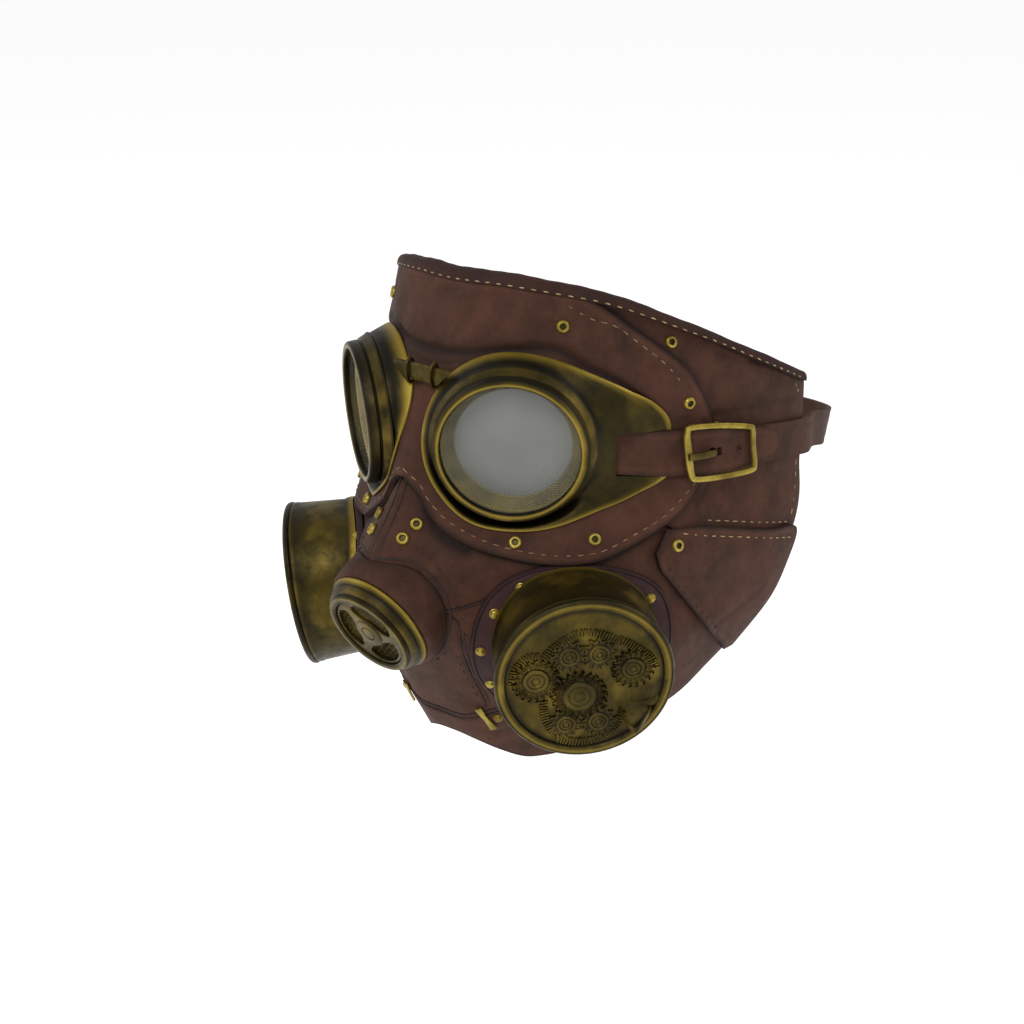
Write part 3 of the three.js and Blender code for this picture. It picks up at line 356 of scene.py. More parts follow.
# Copies of one small piece at many places, joined into one
def scattered(name, master, places):
    copies = []
    for place in places:
        mesh = master.data.copy()
        mesh.transform(place)
        if place.determinant() < 0:
            mesh.flip_normals()
        copy = bpy.data.objects.new(name, mesh)
        bpy.context.scene.collection.objects.link(copy)
        copies.append(copy)
    bpy.ops.object.select_all(action="DESELECT")
    for copy in copies:
        copy.select_set(True)
    bpy.context.view_layer.objects.active = copies[0]
    bpy.ops.object.join()
    joined = bpy.context.view_layer.objects.active
    joined.name = name
    return joined


def joinedTo(obj, *others):
    only(obj)
    for other in others:
        other.select_set(True)
    bpy.ops.object.join()
    return obj


# Settles a finished piece in the frame, on its body, in its finish
def settle(obj, name, material, nodes=(), place=Matrix.Identity(4), smoothAngle=38):
    only(obj)
    obj.name = name
    obj.data.name = name
    obj.data.transform(toFrame @ place)
    if place.determinant() < 0:
        obj.data.flip_normals()
    bpy.ops.object.shade_smooth_by_angle(angle=math.radians(smoothAngle))
    obj.data.materials.clear()
    obj.data.materials.append(material)
    for polygon in obj.data.polygons:
        polygon.material_index = 0
    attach(obj, "root")
    if nodes:
        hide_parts(*nodes)
    return obj


# The same piece for both sides, the right one mirrored
def settlePair(obj, name, material, node=None, place=Matrix.Identity(4), smoothAngle=38):
    other = copied(obj)
    nodes = {side: [f"{node}_{side}"] if node else [] for side in ("left", "right")}
    settle(obj, f"{name}_left", material, nodes["left"], place, smoothAngle)
    settle(other, f"{name}_right", material, nodes["right"], flip @ place, smoothAngle)


# Shader values, so that sums on them read as sums
class Value:
    def __init__(self, sheet, socket):
        self.sheet = sheet
        self.socket = socket

    def sum(self, operation, first, second):
        return self.sheet.node("Math", {"operation": operation}, {0: first, 1: second})

    def __add__(self, other):
        return self.sum("ADD", self, other)

    def __radd__(self, other):
        return self.sum("ADD", other, self)

    def __sub__(self, other):
        return self.sum("SUBTRACT", self, other)

    def __mul__(self, other):
        return self.sum("MULTIPLY", self, other)


class Finish:
    def __init__(self, name):
        self.material = bpy.data.materials.new(name)
        self.material.use_nodes = True
        self.tree = self.material.node_tree
        self.tree.nodes.clear()
        self.coordinates = self.node("TexCoord", output="Object")

    def node(self, kind, settings=None, inputs=None, output=0):
        made = self.tree.nodes.new("ShaderNode" + kind)
        for key, value in (settings or {}).items():
            if key == "stops":
                for i, (position, tone) in enumerate(value):
                    ramp = made.color_ramp.elements
                    stop = ramp[i] if i < 2 else ramp.new(position)
                    stop.position = position
                    stop.color = (tone, tone, tone, 1)
            else:
                setattr(made, key, value)
        for key, value in (inputs or {}).items():
            if isinstance(value, Value):
                self.tree.links.new(value.socket, made.inputs[key])
            elif isinstance(value, tuple) and len(value) == 3 and made.inputs[key].type == "RGBA":
                made.inputs[key].default_value = (*value, 1)
            else:
                made.inputs[key].default_value = value
        return Value(self, made.outputs[output])

    # Blotches or grain about size millimetres across
    def noise(self, size, detail=3, roughness=0.55, stretch=None):
        source = self.coordinates
        if stretch:
            source = self.node("Mapping", {}, {"Vector": self.coordinates, "Scale": stretch})
        inputs = {"Vector": source, "Scale": 1000 / size, "Detail": detail, "Roughness": roughness}
        return self.node("TexNoise", {}, inputs)

    def cells(self, size):
        return self.node("TexVoronoi", {}, {"Vector": self.coordinates, "Scale": 1000 / size})

    def ramp(self, value, *stops):
        return self.node("ValToRGB", {"stops": stops}, {"Fac": value})

    def mark(self, name):
        return self.node("Attribute", {"attribute_name": name}, {}, "Fac")

    # The colour sockets of a mix node are its inputs 6 and 7 and its output 2
    def mix(self, share, first, second):
        return self.node("Mix", {"data_type": "RGBA"}, {0: share, 6: first, 7: second}, 2)

    def bump(self, height, distance, strength=1.0, normal=None):
        inputs = {"Height": height, "Distance": distance / 1000, "Strength": strength}
        if normal:
            inputs["Normal"] = normal
        return self.node("Bump", {}, inputs)

    def surface(self, **inputs):
        named = {key.replace("_", " "): value for key, value in inputs.items()}
        shader = self.node("BsdfPrincipled", {}, named)
        output = self.tree.nodes.new("ShaderNodeOutputMaterial")
        self.tree.links.new(shader.socket, output.inputs["Surface"])
        return self.material


# A colour as read off a screen, 0 to 255, as the shader wants it
def tint(red, green, blue):
    def linear(value):
        value /= 255
        return value / 12.92 if value <= 0.04045 else ((value + 0.055) / 1.055) ** 2.4

    return (linear(red), linear(green), linear(blue))


# Tanned leather: soft mottling, pebble grain, fine scuffs, worn edges, painted shade, and dark lines for
# seams and painted shadow
def leatherFinish(name, base, dark, light):
    sheet = Finish(name)
    blotches = sheet.ramp(sheet.noise(26, 5, 0.6), (0.34, 0), (0.68, 1))
    patches = sheet.ramp(sheet.noise(9, 4, 0.62), (0.4, 0), (0.75, 1))
    colour = sheet.mix(blotches * 0.85, base, dark)
    colour = sheet.mix(patches * 0.4, colour, light)
    scuffs = sheet.ramp(sheet.noise(2.2, 6, 0.7, (1, 0.5, 2.4)), (0.62, 0), (0.7, 1))
    colour = sheet.mix(scuffs * 0.26, colour, light)
    pores = sheet.cells(0.9)
    colour = sheet.mix(sheet.ramp(pores, (0.25, 0), (0.75, 1)) * 0.16, colour, dark)
    rubbedAndHighlight = sheet.mark("rubbedAndHighlight") * sheet.ramp(sheet.noise(4, 4), (0.3, 0.3), (0.6, 1))
    colour = sheet.mix(rubbedAndHighlight * 0.45, colour, light)
    # Painted shade, then dark lines: seams and cut edges, and painted shadow in folds and under overlapping
    # edges
    colour = sheet.mix(sheet.mark("shade") * 0.62, colour, dark)
    darkLine = tint(24, 13, 12)
    colour = sheet.mix(sheet.mark("seamAndShadowLine"), colour, darkLine)
    rough = 0.58 + sheet.noise(3, 4) * 0.24 - rubbedAndHighlight * 0.1
    grain = sheet.cells(1.25) * 0.6 + sheet.noise(0.7, 3) * 0.4
    skinBump = sheet.bump(grain, 0.16, 0.55)
    skinBump = sheet.bump(sheet.noise(7, 3), 0.7, 0.35, skinBump)
    return sheet.surface(Base_Color=colour, Roughness=rough, Normal=skinBump, Specular_IOR_Level=0.2)


# Old brass: dark olive patina in clouds, with bright metal showing where it is worn, and painted shade and
# highlight
def brassFinish(name, base, dark, light, rubbing, roughness):
    sheet = Finish(name)
    clouds = sheet.ramp(sheet.noise(15, 5, 0.62), (0.36, 0), (0.66, 1))
    spots = sheet.ramp(sheet.noise(3.2, 5, 0.65), (0.5, 0), (0.7, 1))
    colour = sheet.mix(clouds * 0.85, base, dark)
    colour = sheet.mix(spots * 0.3, colour, dark)
    glow = sheet.ramp(sheet.noise(19, 3, 0.5, (1, 1, 0.8)), (0.52, 0), (0.74, 1))
    colour = sheet.mix(glow * rubbing, colour, light)
    fleck = sheet.ramp(sheet.noise(0.8, 4, 0.7), (0.66, 0), (0.74, 1))
    colour = sheet.mix(fleck * 0.2, colour, light)
    # Painted shade, then bright marks of worn metal and painted highlight, then dark lines of painted shade
    # in grooves and joins
    colour = sheet.mix(sheet.mark("shade") * 0.62, colour, dark)
    colour = sheet.mix(sheet.mark("rubbedAndHighlight") * 0.8, colour, light)
    colour = sheet.mix(sheet.mark("seamAndShadowLine"), colour, tint(20, 17, 8))
    rough = roughness + clouds * 0.16 + spots * 0.1
    hammered = sheet.bump(sheet.noise(5, 3), 0.35, 0.4)
    pitted = sheet.bump(sheet.noise(0.9, 4, 0.7), 0.05, 0.6, hammered)
    return sheet.surface(Base_Color=colour, Metallic=0.8, Roughness=rough, Normal=pitted)


def threadFinish(name, base, dark):
    sheet = Finish(name)
    colour = sheet.mix(sheet.ramp(sheet.noise(2.5, 4), (0.35, 0), (0.7, 1)), base, dark)
    twist = sheet.noise(0.35, 2, 0.5, (1, 1, 3))
    return sheet.surface(Base_Color=colour, Roughness=0.85, Normal=sheet.bump(twist, 0.1, 0.6))


def glassFinish(name, base, streak, alpha, roughness):
    sheet = Finish(name)
    haze = sheet.ramp(sheet.noise(24, 3, 0.5), (0.35, 0), (0.7, 1))
    colour = sheet.mix(haze * 0.7, base, streak)
    smear = sheet.ramp(sheet.noise(6, 5, 0.6, (1, 1, 3)), (0.55, 0), (0.8, 1))
    rough = roughness + smear * 0.12
    shine = sheet.bump(sheet.noise(12, 2), 0.05, 0.2)
    return sheet.surface(Base_Color=colour, Roughness=rough, Alpha=alpha, Normal=shine)


print("finishes")
leatherBrown = leatherFinish("brown_leather", tint(71, 41, 28), tint(39, 24, 15), tint(98, 60, 44))
leatherDark = leatherFinish("dark_leather", tint(52, 29, 22), tint(34, 19, 15), tint(72, 42, 32))
leatherPlum = leatherFinish("plum_leather", tint(58, 35, 36), tint(40, 25, 26), tint(80, 50, 48))
brassOld = brassFinish("old_brass", tint(76, 63, 16), tint(30, 25, 5), tint(156, 132, 50), 0.5, 0.36)
brassBright = brassFinish(
    "bright_brass", tint(172, 150, 64), tint(92, 77, 24), tint(216, 190, 100), 0.6, 0.32
)
threadPale = threadFinish("pale_thread", tint(176, 152, 104), tint(122, 98, 64))
threadWorn = threadFinish("worn_thread", tint(142, 114, 84), tint(96, 72, 52))
threadDark = threadFinish("dark_thread", tint(34, 20, 18), tint(52, 32, 27))
glassClear = glassFinish("clear_glass", tint(150, 158, 158), tint(120, 126, 122), 0.08, 0.06)
glassSmoked = glassFinish("smoked_glass", tint(122, 121, 114), tint(110, 110, 104), 1.0, 0.4)


# Leather panels
# Each rib runs from its low to its high edge: low angle, low level, high angle, high level, how far
# its middle bows backwards, and how far its top sinks under its neighbour, as a share of the leather
toTop = 0.32
browRibs = [
    (0, -0.066, 0, toTop, 0, 0),
    (4.5, -0.092, 4.5, toTop, 0, 0),
    (8, -0.131, 8, toTop, 0, 0),
    (14, -0.165, 14, toTop, 0, 0),
    (24, -0.199, 24, toTop, 0, 0),
    (36, -0.214, 36, toTop, 0, 0),
    (50, -0.211, 47, 0.27, 0, 0),
    (60, -0.187, 55, 0.242, 0, 0),
    (70, -0.16, 63, 0.208, 0, 0),
    (78, -0.131, 72, 0.167, 0, 0),
    (84, -0.096, 80.5, 0.121, 0, 0),
    (88.5, -0.058, 87, 0.056, 0, 0),
    (90.5, -0.034, 91, -0.005, 0, 0),
]
lowerRibs = [
    (0, -0.619, 0, -0.024, 0, 0.4),
    (5, -0.621, 5, -0.049, 0, 0.4),
    (10, -0.629, 9, -0.092, 0, 0.4),
    (18, -0.648, 14, -0.126, 0, 0.4),
    (27, -0.665, 24, -0.16, 0, 0.4),
    (36, -0.661, 36, -0.175, 0, 0.4),
    (48, -0.65, 49, -0.172, 0, 0.4),
    (62, -0.631, 59, -0.147, 0, 0.5),
    (77, -0.592, 66, -0.132, 0, 0.6),
    (92, -0.536, 72, -0.155, 0, 0.6),
    (105, -0.464, 78, -0.18, 0, 0.6),
]
templeRibs = [
    (66, -0.141, 43, toTop, 9, 0),
    (72, -0.167, 56, toTop, 7, 0),
    (78, -0.191, 72, toTop, 5, 0),
    (87, -0.211, 83, toTop, 3, 0),
    (98, -0.231, 95, toTop, 1, 0),
    (109, -0.25, 109, toTop, 1, 0),
    (119.3, -0.267, topEdgeEnd, toTop, 4, 0),
]
cheekRibs = [
    (66.6, -0.206, 70.5, -0.168, 0, 0),
    (67.5, -0.238, 80, -0.172, 0, 0),
    (70.7, -0.267, 93, -0.194, 0, 0),
    (76, -0.313, 107, -0.221, 0, 0),
    (83, -0.369, 118, -0.242, 0, 0),
    (89, -0.41, 117.6, -0.318, 0, 0),
    (95, -0.439, 112, -0.398, 0, 0),
    (99.5, -0.466, 104.5, -0.466, 0, 0),
]


# A seam, fold or crease along a path of angle and level: how wide and deep the dent is, in
# millimetres, how dark its middle, how wide the dark line (seams, and painted shadow in folds), and how dark
# the painted shade round it
def pressed(path, width, depth, seamAndShadowLine, darkLine, shade):
    return {"path": path, "width": width, "depth": depth, "seamAndShadowLine": seamAndShadowLine, "darkLine": darkLine, "shade": shade}


browLines = [
    # The fold over the goggles, darkened with painted shade
    pressed([(0, 32), (4, 31.7), (14, 33), (26, 35), (39, 35), (48, 29), (60.5, 21), (73.4, 5)],
            2.0, 1.7, 0.8, 0.9, 1.0),
    pressed([(0, 27), (6, 28.4), (13, 30)], 1.2, 0.4, 0.5, 0.5, 0.3),
    pressed([(37, 55), (38.4, 50), (37.4, 45.6)], 1, 0.3, 0.35, 0.4, 0),
    pressed([(30.5, 37.5), (33.5, 38.4)], 1, 0.3, 0.4, 0.4, 0),
    pressed([(70, 6.5), (76, 4.8), (81, 6)], 1.6, 0.3, 0.2, 0.6, 0.5),
]
browLowEdge = [(0, -13.6), (4.5, -19), (8, -27), (14, -34), (24, -41), (36, -44.1), (50, -43.5), (60, -38.5),
               (70, -33), (78, -27), (84, -19.8), (88.5, -12), (90.5, -7)]


# The same path moved square to the level by some millimetres
def moved(path, rise):
    return [(angle, level + rise) for angle, level in path]


lowerLines = [
    # Painted shadow on the lower panel under the brow's edge
    pressed(moved(browLowEdge, -0.6), 1.4, 0.2, 0.85, 1.0, 0.9),
    pressed([(6.4, -25.4), (9, -31.4), (13, -36.4), (17.6, -40)], 1.8, 0.3, 0.9, 1.5, 0.9),
    pressed([(1.1, -14), (1.1, -48)], 0.55, 0.5, 0.9, 0.36, 0.2),
    pressed([(0, -14), (0, -48)], 0.6, -0.5, 0, 0.3, 0),
    pressed([(11, -63.8), (17.3, -61.8), (23.5, -58.2)], 0.7, 0.5, 1, 0.42, 0.2),
    pressed([(14.6, -64), (16.6, -69), (16.4, -80), (16.6, -92), (18, -110)], 0.7, 0.4, 0.9, 0.36, 0.2),
    pressed([(17.4, -72), (17.5, -92), (19.4, -108)], 0.6, 0.3, 0.7, 0.3, 0),
    pressed([(0, -116.4), (6.2, -116.6), (10.4, -116), (16, -113.6), (21.3, -110.4)],
            0.7, 0.4, 0.85, 0.36, 0.3),
    pressed([(0, -118.4), (6.2, -118.6), (10.4, -118), (16.4, -115.4), (22.4, -111.6)],
            0.7, 0.4, 0.85, 0.36, 0.3),
    pressed([(9.2, -46.5), (10.4, -53), (10.8, -58)], 0.6, 0.3, 0.7, 0.3, 0),
    pressed([(19, -124), (26, -121), (34, -124)], 1.6, 0.5, 0.3, 0.5, 0.5),
]
templeLines = [
    # Painted shadow along the brow's back edge and, below, under its lower edge
    pressed([(46, 56), (54.8, 48.8), (59.3, 47.4), (65.7, 40.8), (73.3, 34.2), (80.8, 25.4), (87.4, 11.6)],
            1.2, 0.1, 0.8, 0.9, 0.7),
    pressed(moved(browLowEdge[8:], -0.6), 1.2, 0.1, 0.8, 0.9, 0.7),
    pressed([(78, 26), (81, 18), (83.4, 10)], 1.0, 0.4, 0.8, 0.4, 0.4),
    pressed([(103, 24), (110, 20), (117, 15.5), (121, 12)], 0.9, 0.5, 0.8, 0.4, 0.4),
    pressed([(90, 5), (97, 4.4), (106, 5.6), (118, 4)], 1.4, 0.4, 0.3, 0.6, 0.5),
    pressed([(82, -30), (86, -25), (90, -18)], 0.9, 0.3, 0.5, 0.4, 0.2),
]
cheekLines = [
    pressed([(88, -79), (97, -75), (107, -70)], 1.6, 0.4, 0, 0.6, 0.3),
    pressed([(90, -82), (91, -87)], 0.8, 0.3, 0.5, 0.4, 0.2),
]


# Angle, level and sinking for shares u along and v up a panel
def ribSpots(ribs, both):
    table = np.array(ribs, float)
    if both:
        other = table[:0:-1].copy()
        other[:, [0, 2]] *= -1
        table = np.vstack([other, table])
    index = np.arange(len(table))

    def spots(u, v):
        spread = table[0, 0] + (table[-1, 0] - table[0, 0]) * u
        at = np.interp(spread, table[:, 0], index)
        lowAngle, low, highAngle, high, bow, tuck = (curve(index, column, at) for column in table.T)
        low = low * face["height"]
        high = high * face["height"]
        reach = np.ones_like(at)
        for _ in range(8):
            angle = lowAngle + (highAngle - lowAngle) * reach + bow * 4 * reach * (1 - reach)
            top = topEdge(angle) - face["bindingHeight"] + face["underBinding"]
            reach = np.clip((top - low) / np.maximum(high - low, 0.1), 0.02, 1)
        t = v * reach
        angle = lowAngle + (highAngle - lowAngle) * t + bow * 4 * t * (1 - t)
        level = low + (high - low) * t
        return angle, level, tuck * face["leather"] * smooth((v - 0.86) / 0.14)

    return spots


# Distance from each point to a path of angle and level, measured over the leather
def distanceTo(path, angle, level, radius):
    away = np.full(angle.shape, 1e9)
    scale = np.radians(1) * radius
    for (startAngle, startLevel), (endAngle, endLevel) in zip(path[:-1], path[1:]):
        acrossX = (endAngle - startAngle) * scale
        acrossY = endLevel - startLevel
        fromX = (angle - startAngle) * scale
        fromY = level - startLevel
        length = np.maximum(acrossX**2 + acrossY**2, 1e-6)
        t = np.clip((fromX * acrossX + fromY * acrossY) / length, 0, 1)
        away = np.minimum(away, np.hypot(fromX - acrossX * t, fromY - acrossY * t))
    return away


# A path with more points, rounded through its corners
def rounded(path, count=24):
    table = np.array(path, float)
    at = np.linspace(0, len(path) - 1, count)
    columns = [curve(np.arange(len(path)), column, at) for column in table.T]
    return [tuple(spot) for spot in np.stack(columns, 1)]


# Presses the seams into a panel, gives it the slight lumps of worked leather, and marks its tones and its
# painted shade
def workLeather(obj, outline, lines, edgeShade=0.8):
    points = readPoints(obj)
    angle, level, radius = aroundHead(points)
    side = np.abs(angle)
    push = np.zeros(len(points))
    seamAndShadowLine = np.zeros(len(points))
    shade = np.zeros(len(points))
    for line in lines:
        away = distanceTo(rounded(line["path"]), side, level, radius)
        push -= line["depth"] * near(away, line["width"])
        seamAndShadowLine = np.maximum(seamAndShadowLine, line["seamAndShadowLine"] * near(away, line["darkLine"]))
        shade = np.maximum(shade, line["shade"] * near(away, line["width"] * 1.8))
    push += 0.14 * np.sin(side * 0.31 + level * 0.12) + 0.1 * np.sin(level * 0.29 - side * 0.17 + 1)
    edge = np.min([distanceTo(path, angle, level, radius) for path in outline], 0)
    # Along the panel's edges: painted shade, a dark line that is edge dye and painted shadow, and a lighter
    # worn band just inside
    shade = np.maximum(shade, edgeShade * near(edge, 1.0))
    seamAndShadowLine = np.maximum(seamAndShadowLine, 0.7 * near(edge, 0.75))
    rubbedAndHighlight = near(edge - 2.1, 0.9) * 0.5
    share = (radius + push) / radius
    points[:, 0] *= share
    points[:, 1] = face["axisDepth"] + (points[:, 1] - face["axisDepth"]) * share
    writePoints(obj, points)
    markPoints(obj, "seamAndShadowLine", seamAndShadowLine)
    markPoints(obj, "shade", shade)
    markPoints(obj, "rubbedAndHighlight", rubbedAndHighlight)


def panelOutline(spots, count=60):
    shares = np.linspace(0, 1, count)
    ends = [(shares, 0 * shares), (shares, 0 * shares + 1), (0 * shares, shares), (0 * shares + 1, shares)]
    outline = []
    for u, v in ends:
        angle, level, _ = spots(u, v)
        outline.append(list(zip(angle, level)))
    return outline


def leatherPanel(name, ribs, both, over, columns, rows, lines, cutters=()):
    spots = ribSpots(ribs, both)

    def place(u, v):
        angle, level, sunk = spots(u, v)
        return skin(angle, level, over - sunk)

    obj = wrapped(name, columns, rows, place)
    applied(obj, "SOLIDIFY", thickness=face["leather"], offset=-1, use_even_offset=True)
    applied(obj, "BEVEL", width=0.55, segments=2, limit_method="ANGLE", angle_limit=math.radians(55))
    cutBy(obj, *cutters)
    workLeather(obj, panelOutline(spots), lines)
    return obj


goggle = {
    "spacing": 80, "yaw": 34.5, "pitch": 4.5, "heightShare": 0.955,
    "lens": 26.5, "rimBack": 32.4, "rimFront": 29.6, "rimDepth": 7, "rimProud": 2.2,
    "bore": 28, "lip": 1.3, "eyeHole": 24.5,
}
goggleCentre = (goggle["spacing"] / 2, 0, 0)
gogglePlace = fittingPlace(goggleCentre, goggle["yaw"], goggle["pitch"], goggle["heightShare"])
cupFront = -goggle["rimDepth"] - face["seatGap"]
cupFoot = cupFront - goggle["lip"]
cupFootRadius = goggle["rimBack"] * 1.04
valve = {"depth": -36.5, "level": -72.8, "pitch": 28, "hole": 14, "ring": 22.6, "inner": 19, "grille": 15.8,
         "collarBase": 24.6, "collarFront": 23.8, "collarDepth": -7.2}
valvePlace = fittingPlace((0, valve["depth"], valve["level"]), 0, valve["pitch"])
farAlongAxis = 60


def eyeCutters():
    cutters = []
    for place in (gogglePlace, flip @ gogglePlace):
        cutters.append(boreCutter(goggle["eyeHole"], -farAlongAxis, farAlongAxis, place))
        foot = cupFoot - face["seatGap"]
        cutters.append(boreCutter(cupFootRadius + face["seatGap"], foot, farAlongAxis, place))
    return cutters


print("leather panels")
brow = leatherPanel("brow", browRibs, True, outerOver, 280, 100, browLines, eyeCutters())
settle(brow, "brow_leather", leatherBrown, ["brow_mask"])
valveCutter = boreCutter(valve["hole"], -farAlongAxis, farAlongAxis, valvePlace)
lower = leatherPanel("lower", lowerRibs, True, innerOver, 290, 130, lowerLines, [valveCutter, *eyeCutters()])
settle(lower, "lower_leather", leatherBrown, ["lower_mask"])
temple = leatherPanel("temple", templeRibs, False, innerOver, 80, 96, templeLines)
settlePair(temple, "temple_leather", leatherBrown, "temple_panel")
cheek = leatherPanel("cheek", cheekRibs, False, outerOver, 60, 52, cheekLines)
settlePair(cheek, "cheek_leather", leatherBrown, "cheek_panel")


# The rolled binding round the top edge
def topBinding():
    low = -face["leather"] - face["bindingProud"]
    high = outerOver + face["bindingProud"]
    section = np.array([
        (0, 0), (0.5, 0), (1, 0), (1.03, 0.3), (1, 0.62), (0.88, 0.88), (0.68, 1), (0.5, 1.03), (0.32, 1),
        (0.12, 0.88), (0, 0.62), (-0.03, 0.3), (0, 0),
    ])
    knots = np.arange(len(section))

    def ring(u, v):
        angle = topEdgeEnd * (2 * u - 1)
        out = np.interp(v * knots[-1], knots, section[:, 0])
        up = np.interp(v * knots[-1], knots, section[:, 1])
        pucker = 0.12 * np.sin(angle * 0.31) + 0.06 * np.sin(angle * 0.83)
        base = topEdge(angle) - face["bindingHeight"]
        return skin(angle, base + up * (face["bindingHeight"] + pucker * up), low + out * (high - low))

    return swept("binding", 300, 24, ring)


# Painted shade along the foot of the binding, where it meets the panels
def markBand(obj, centre, width):
    angle, level, _ = aroundHead(readPoints(obj))
    away = level - topEdge(angle) - centre
    markPoints(obj, "shade", near(away, width) * 0.8)


binding = topBinding()
markBand(binding, -4.2, 0.8)
settle(binding, "top_binding_roll", leatherDark, ["top_binding"], smoothAngle=50)


# Stitches
stitch = {"length": 2.9, "width": 0.5, "height": 0.44, "pitch": 4.6, "lift": 0.12, "collarCount": 30}


def stitchMaster():
    bpy.ops.mesh.primitive_uv_sphere_add(segments=8, ring_count=6, radius=0.5)
    obj = bpy.context.object
    obj.scale = (stitch["width"], stitch["width"], stitch["length"])
    bpy.ops.object.transform_apply(scale=True)
    obj.data.transform(Matrix.Rotation(math.radians(90), 4, "Y"))
    points = readPoints(obj)
    points[:, 2] *= stitch["height"] / stitch["width"]
    points[:, 2] -= 0.35 * (points[:, 0] / stitch["length"] * 2) ** 2  # the ends dive into the leather
    writePoints(obj, points)
    return obj


# Places along a path of angle and level, one pitch apart, on the leather
def alongPath(path, pitch, lift):
    dense = np.array(rounded(path, 160))
    points = skin(dense[:, 0], dense[:, 1], lift)
    run = np.concatenate([[0], np.cumsum(np.linalg.norm(np.diff(points, axis=0), axis=1))])
    count = max(2, int(run[-1] / pitch))
    places = []
    for i in range(count):
        at = run[-1] * (i + 0.5) / count
        angle = np.interp(at, run, dense[:, 0])
        level = np.interp(at, run, dense[:, 1])
        ahead = np.interp(at + 1, run, dense[:, 0]) - np.interp(at - 1, run, dense[:, 0])
        rise = np.interp(at + 1, run, dense[:, 1]) - np.interp(at - 1, run, dense[:, 1])
        radius = faceRadius(angle, level)[0]
        wobble = 0.06 * math.sin(i * 2.4)
        roll = math.atan2(rise, math.radians(ahead) * radius) + wobble
        places.append(spotPlace(angle, level, lift, roll))
    return places


def browEdgePath(inset):
    return [(0, -13.6 + inset), (4.5, -19 + inset), (8, -27 + inset), (14, -34 + inset), (24, -41 + inset),
            (36, -44 + inset), (50, -43.5 + inset), (60, -38.5 + inset), (70, -33 + inset),
            (77, -27 + inset), (82.6, -20 + inset * 0.6)]


stitchRows = [  # path, lift of the leather, thread
    (browEdgePath(3.4), outerOver, "worn"),
    ([(0, 57.9), (20, 58.1), (40, 55.6), (60, 50.4), (87, 36.4), (103, 25), (119, 12.4)],
     outerOver + face["bindingProud"], "pale"),
    ([(42, 52), (50, 46.6), (58, 43.4), (65, 37), (72.4, 29), (78, 20.4)], outerOver, "worn"),
    ([(119.6, 10), (121.4, 5)], innerOver, "pale"),
    ([(121, -16), (119.6, -30), (117.2, -45.4)], innerOver, "pale"),
    ([(85, -35), (95, -38.4), (107, -43), (116.4, -46.8)], innerOver, "pale"),
    ([(74.5, -36.6), (84, -40.2), (96, -44.6), (108, -49.6), (116, -53)], outerOver, "pale"),
    ([(69.6, -47), (72, -54.5), (77.6, -64), (84, -74), (90, -82)], outerOver, "dark"),
    ([(12, -54), (20, -50.5), (30, -49.5)], innerOver, "dark"),
    ([(24.6, -57), (27, -54), (31, -50)], innerOver, "dark"),
    ([(15.4, -66), (17.8, -72), (18.4, -82)], innerOver, "dark"),
    ([(14.6, -82), (15, -94), (16.4, -106)], innerOver, "dark"),
]


def stitches():
    master = stitchMaster()
    threads = {"pale": threadPale, "worn": threadWorn, "dark": threadDark}
    for thread, material in threads.items():
        places = []
        for path, lift, kind in stitchRows:
            if kind == thread:
                found = alongPath(path, stitch["pitch"], lift + stitch["lift"])
                places += found + [flip @ place for place in found]
        if thread == "dark":
            collar = valve["collarBase"] + 2.6
            for i in range(stitch["collarCount"]):
                turn = 2 * math.pi * i / stitch["collarCount"]
                x = collar * math.cos(turn)
                y = collar * math.sin(turn)
                height = faceBehind(valvePlace, x, y, innerOver + stitch["lift"])[0]
                point = valvePlace @ Vector((x, y, height))
                angle, level, _ = aroundHead(np.array([point]))
                ahead = valvePlace.to_3x3() @ Vector((-math.sin(turn), math.cos(turn), 0))
                spot = spotPlace(angle[0], level[0], stitch["lift"])
                flat = spot.to_3x3().transposed() @ ahead
                places.append(spot @ Matrix.Rotation(math.atan2(flat.y, flat.x), 4, "Z"))
        settle(scattered(f"{thread}_stitches", master, places), f"{thread}_stitches", material)
    remove(master)


# Narrow welts of dark leather along the seams
weltRows = [
    [(1.0, -15), (1.0, -48)],
    [(11, -63.8), (17.3, -61.8), (23.5, -58.2)],
    [(14.6, -64), (16.6, -69), (16.4, -80), (16.6, -92), (18, -108)],
    [(17.6, -72), (17.7, -92), (19.4, -106)],
    [(0, -116.4), (6.2, -116.6), (10.4, -116), (16, -113.6), (20.6, -110.8)],
    [(0, -118.6), (6.2, -118.8), (10.4, -118.2), (16.4, -115.6), (21.8, -112)],
    [(9.2, -46.5), (10.4, -53), (10.8, -58)],
]
welt = {"width": 0.62, "height": 0.4}


def welts():
    cords = []
    for path in weltRows:
        points = [(angle, level, innerOver + 0.02) for angle, level in rounded(path, 10)]
        cords.append(barAlong("welt", points, welt["width"], welt["height"], 40, False, 8))
    settlePair(joinedTo(cords[0], *cords[1:]), "seam_welts", threadDark, smoothAngle=60)
    # A dark welt ring round the collar's foot: a welt, and a painted shadow line where the collar meets the
    # mask
    turn = np.radians(np.arange(0, 360, 10))
    x, y = ((valve["collarBase"] + 0.5) * np.cos(turn), (valve["collarBase"] + 0.5) * np.sin(turn))
    foot = np.stack([x, y, faceBehind(valvePlace, x, y, innerOver)], 1)
    angle, level, _ = aroundHead(placed(foot, valvePlace))
    points = [(a, z, innerOver + 0.1) for a, z in zip(angle, level)]
    ring = barAlong("collar_welt_and_shadow", points, 1.1, 0.7, 180, True, 10, 1)
    settle(ring, "collar_foot_welt_and_shadow", threadDark, smoothAngle=60)


print("stitches")
stitches()


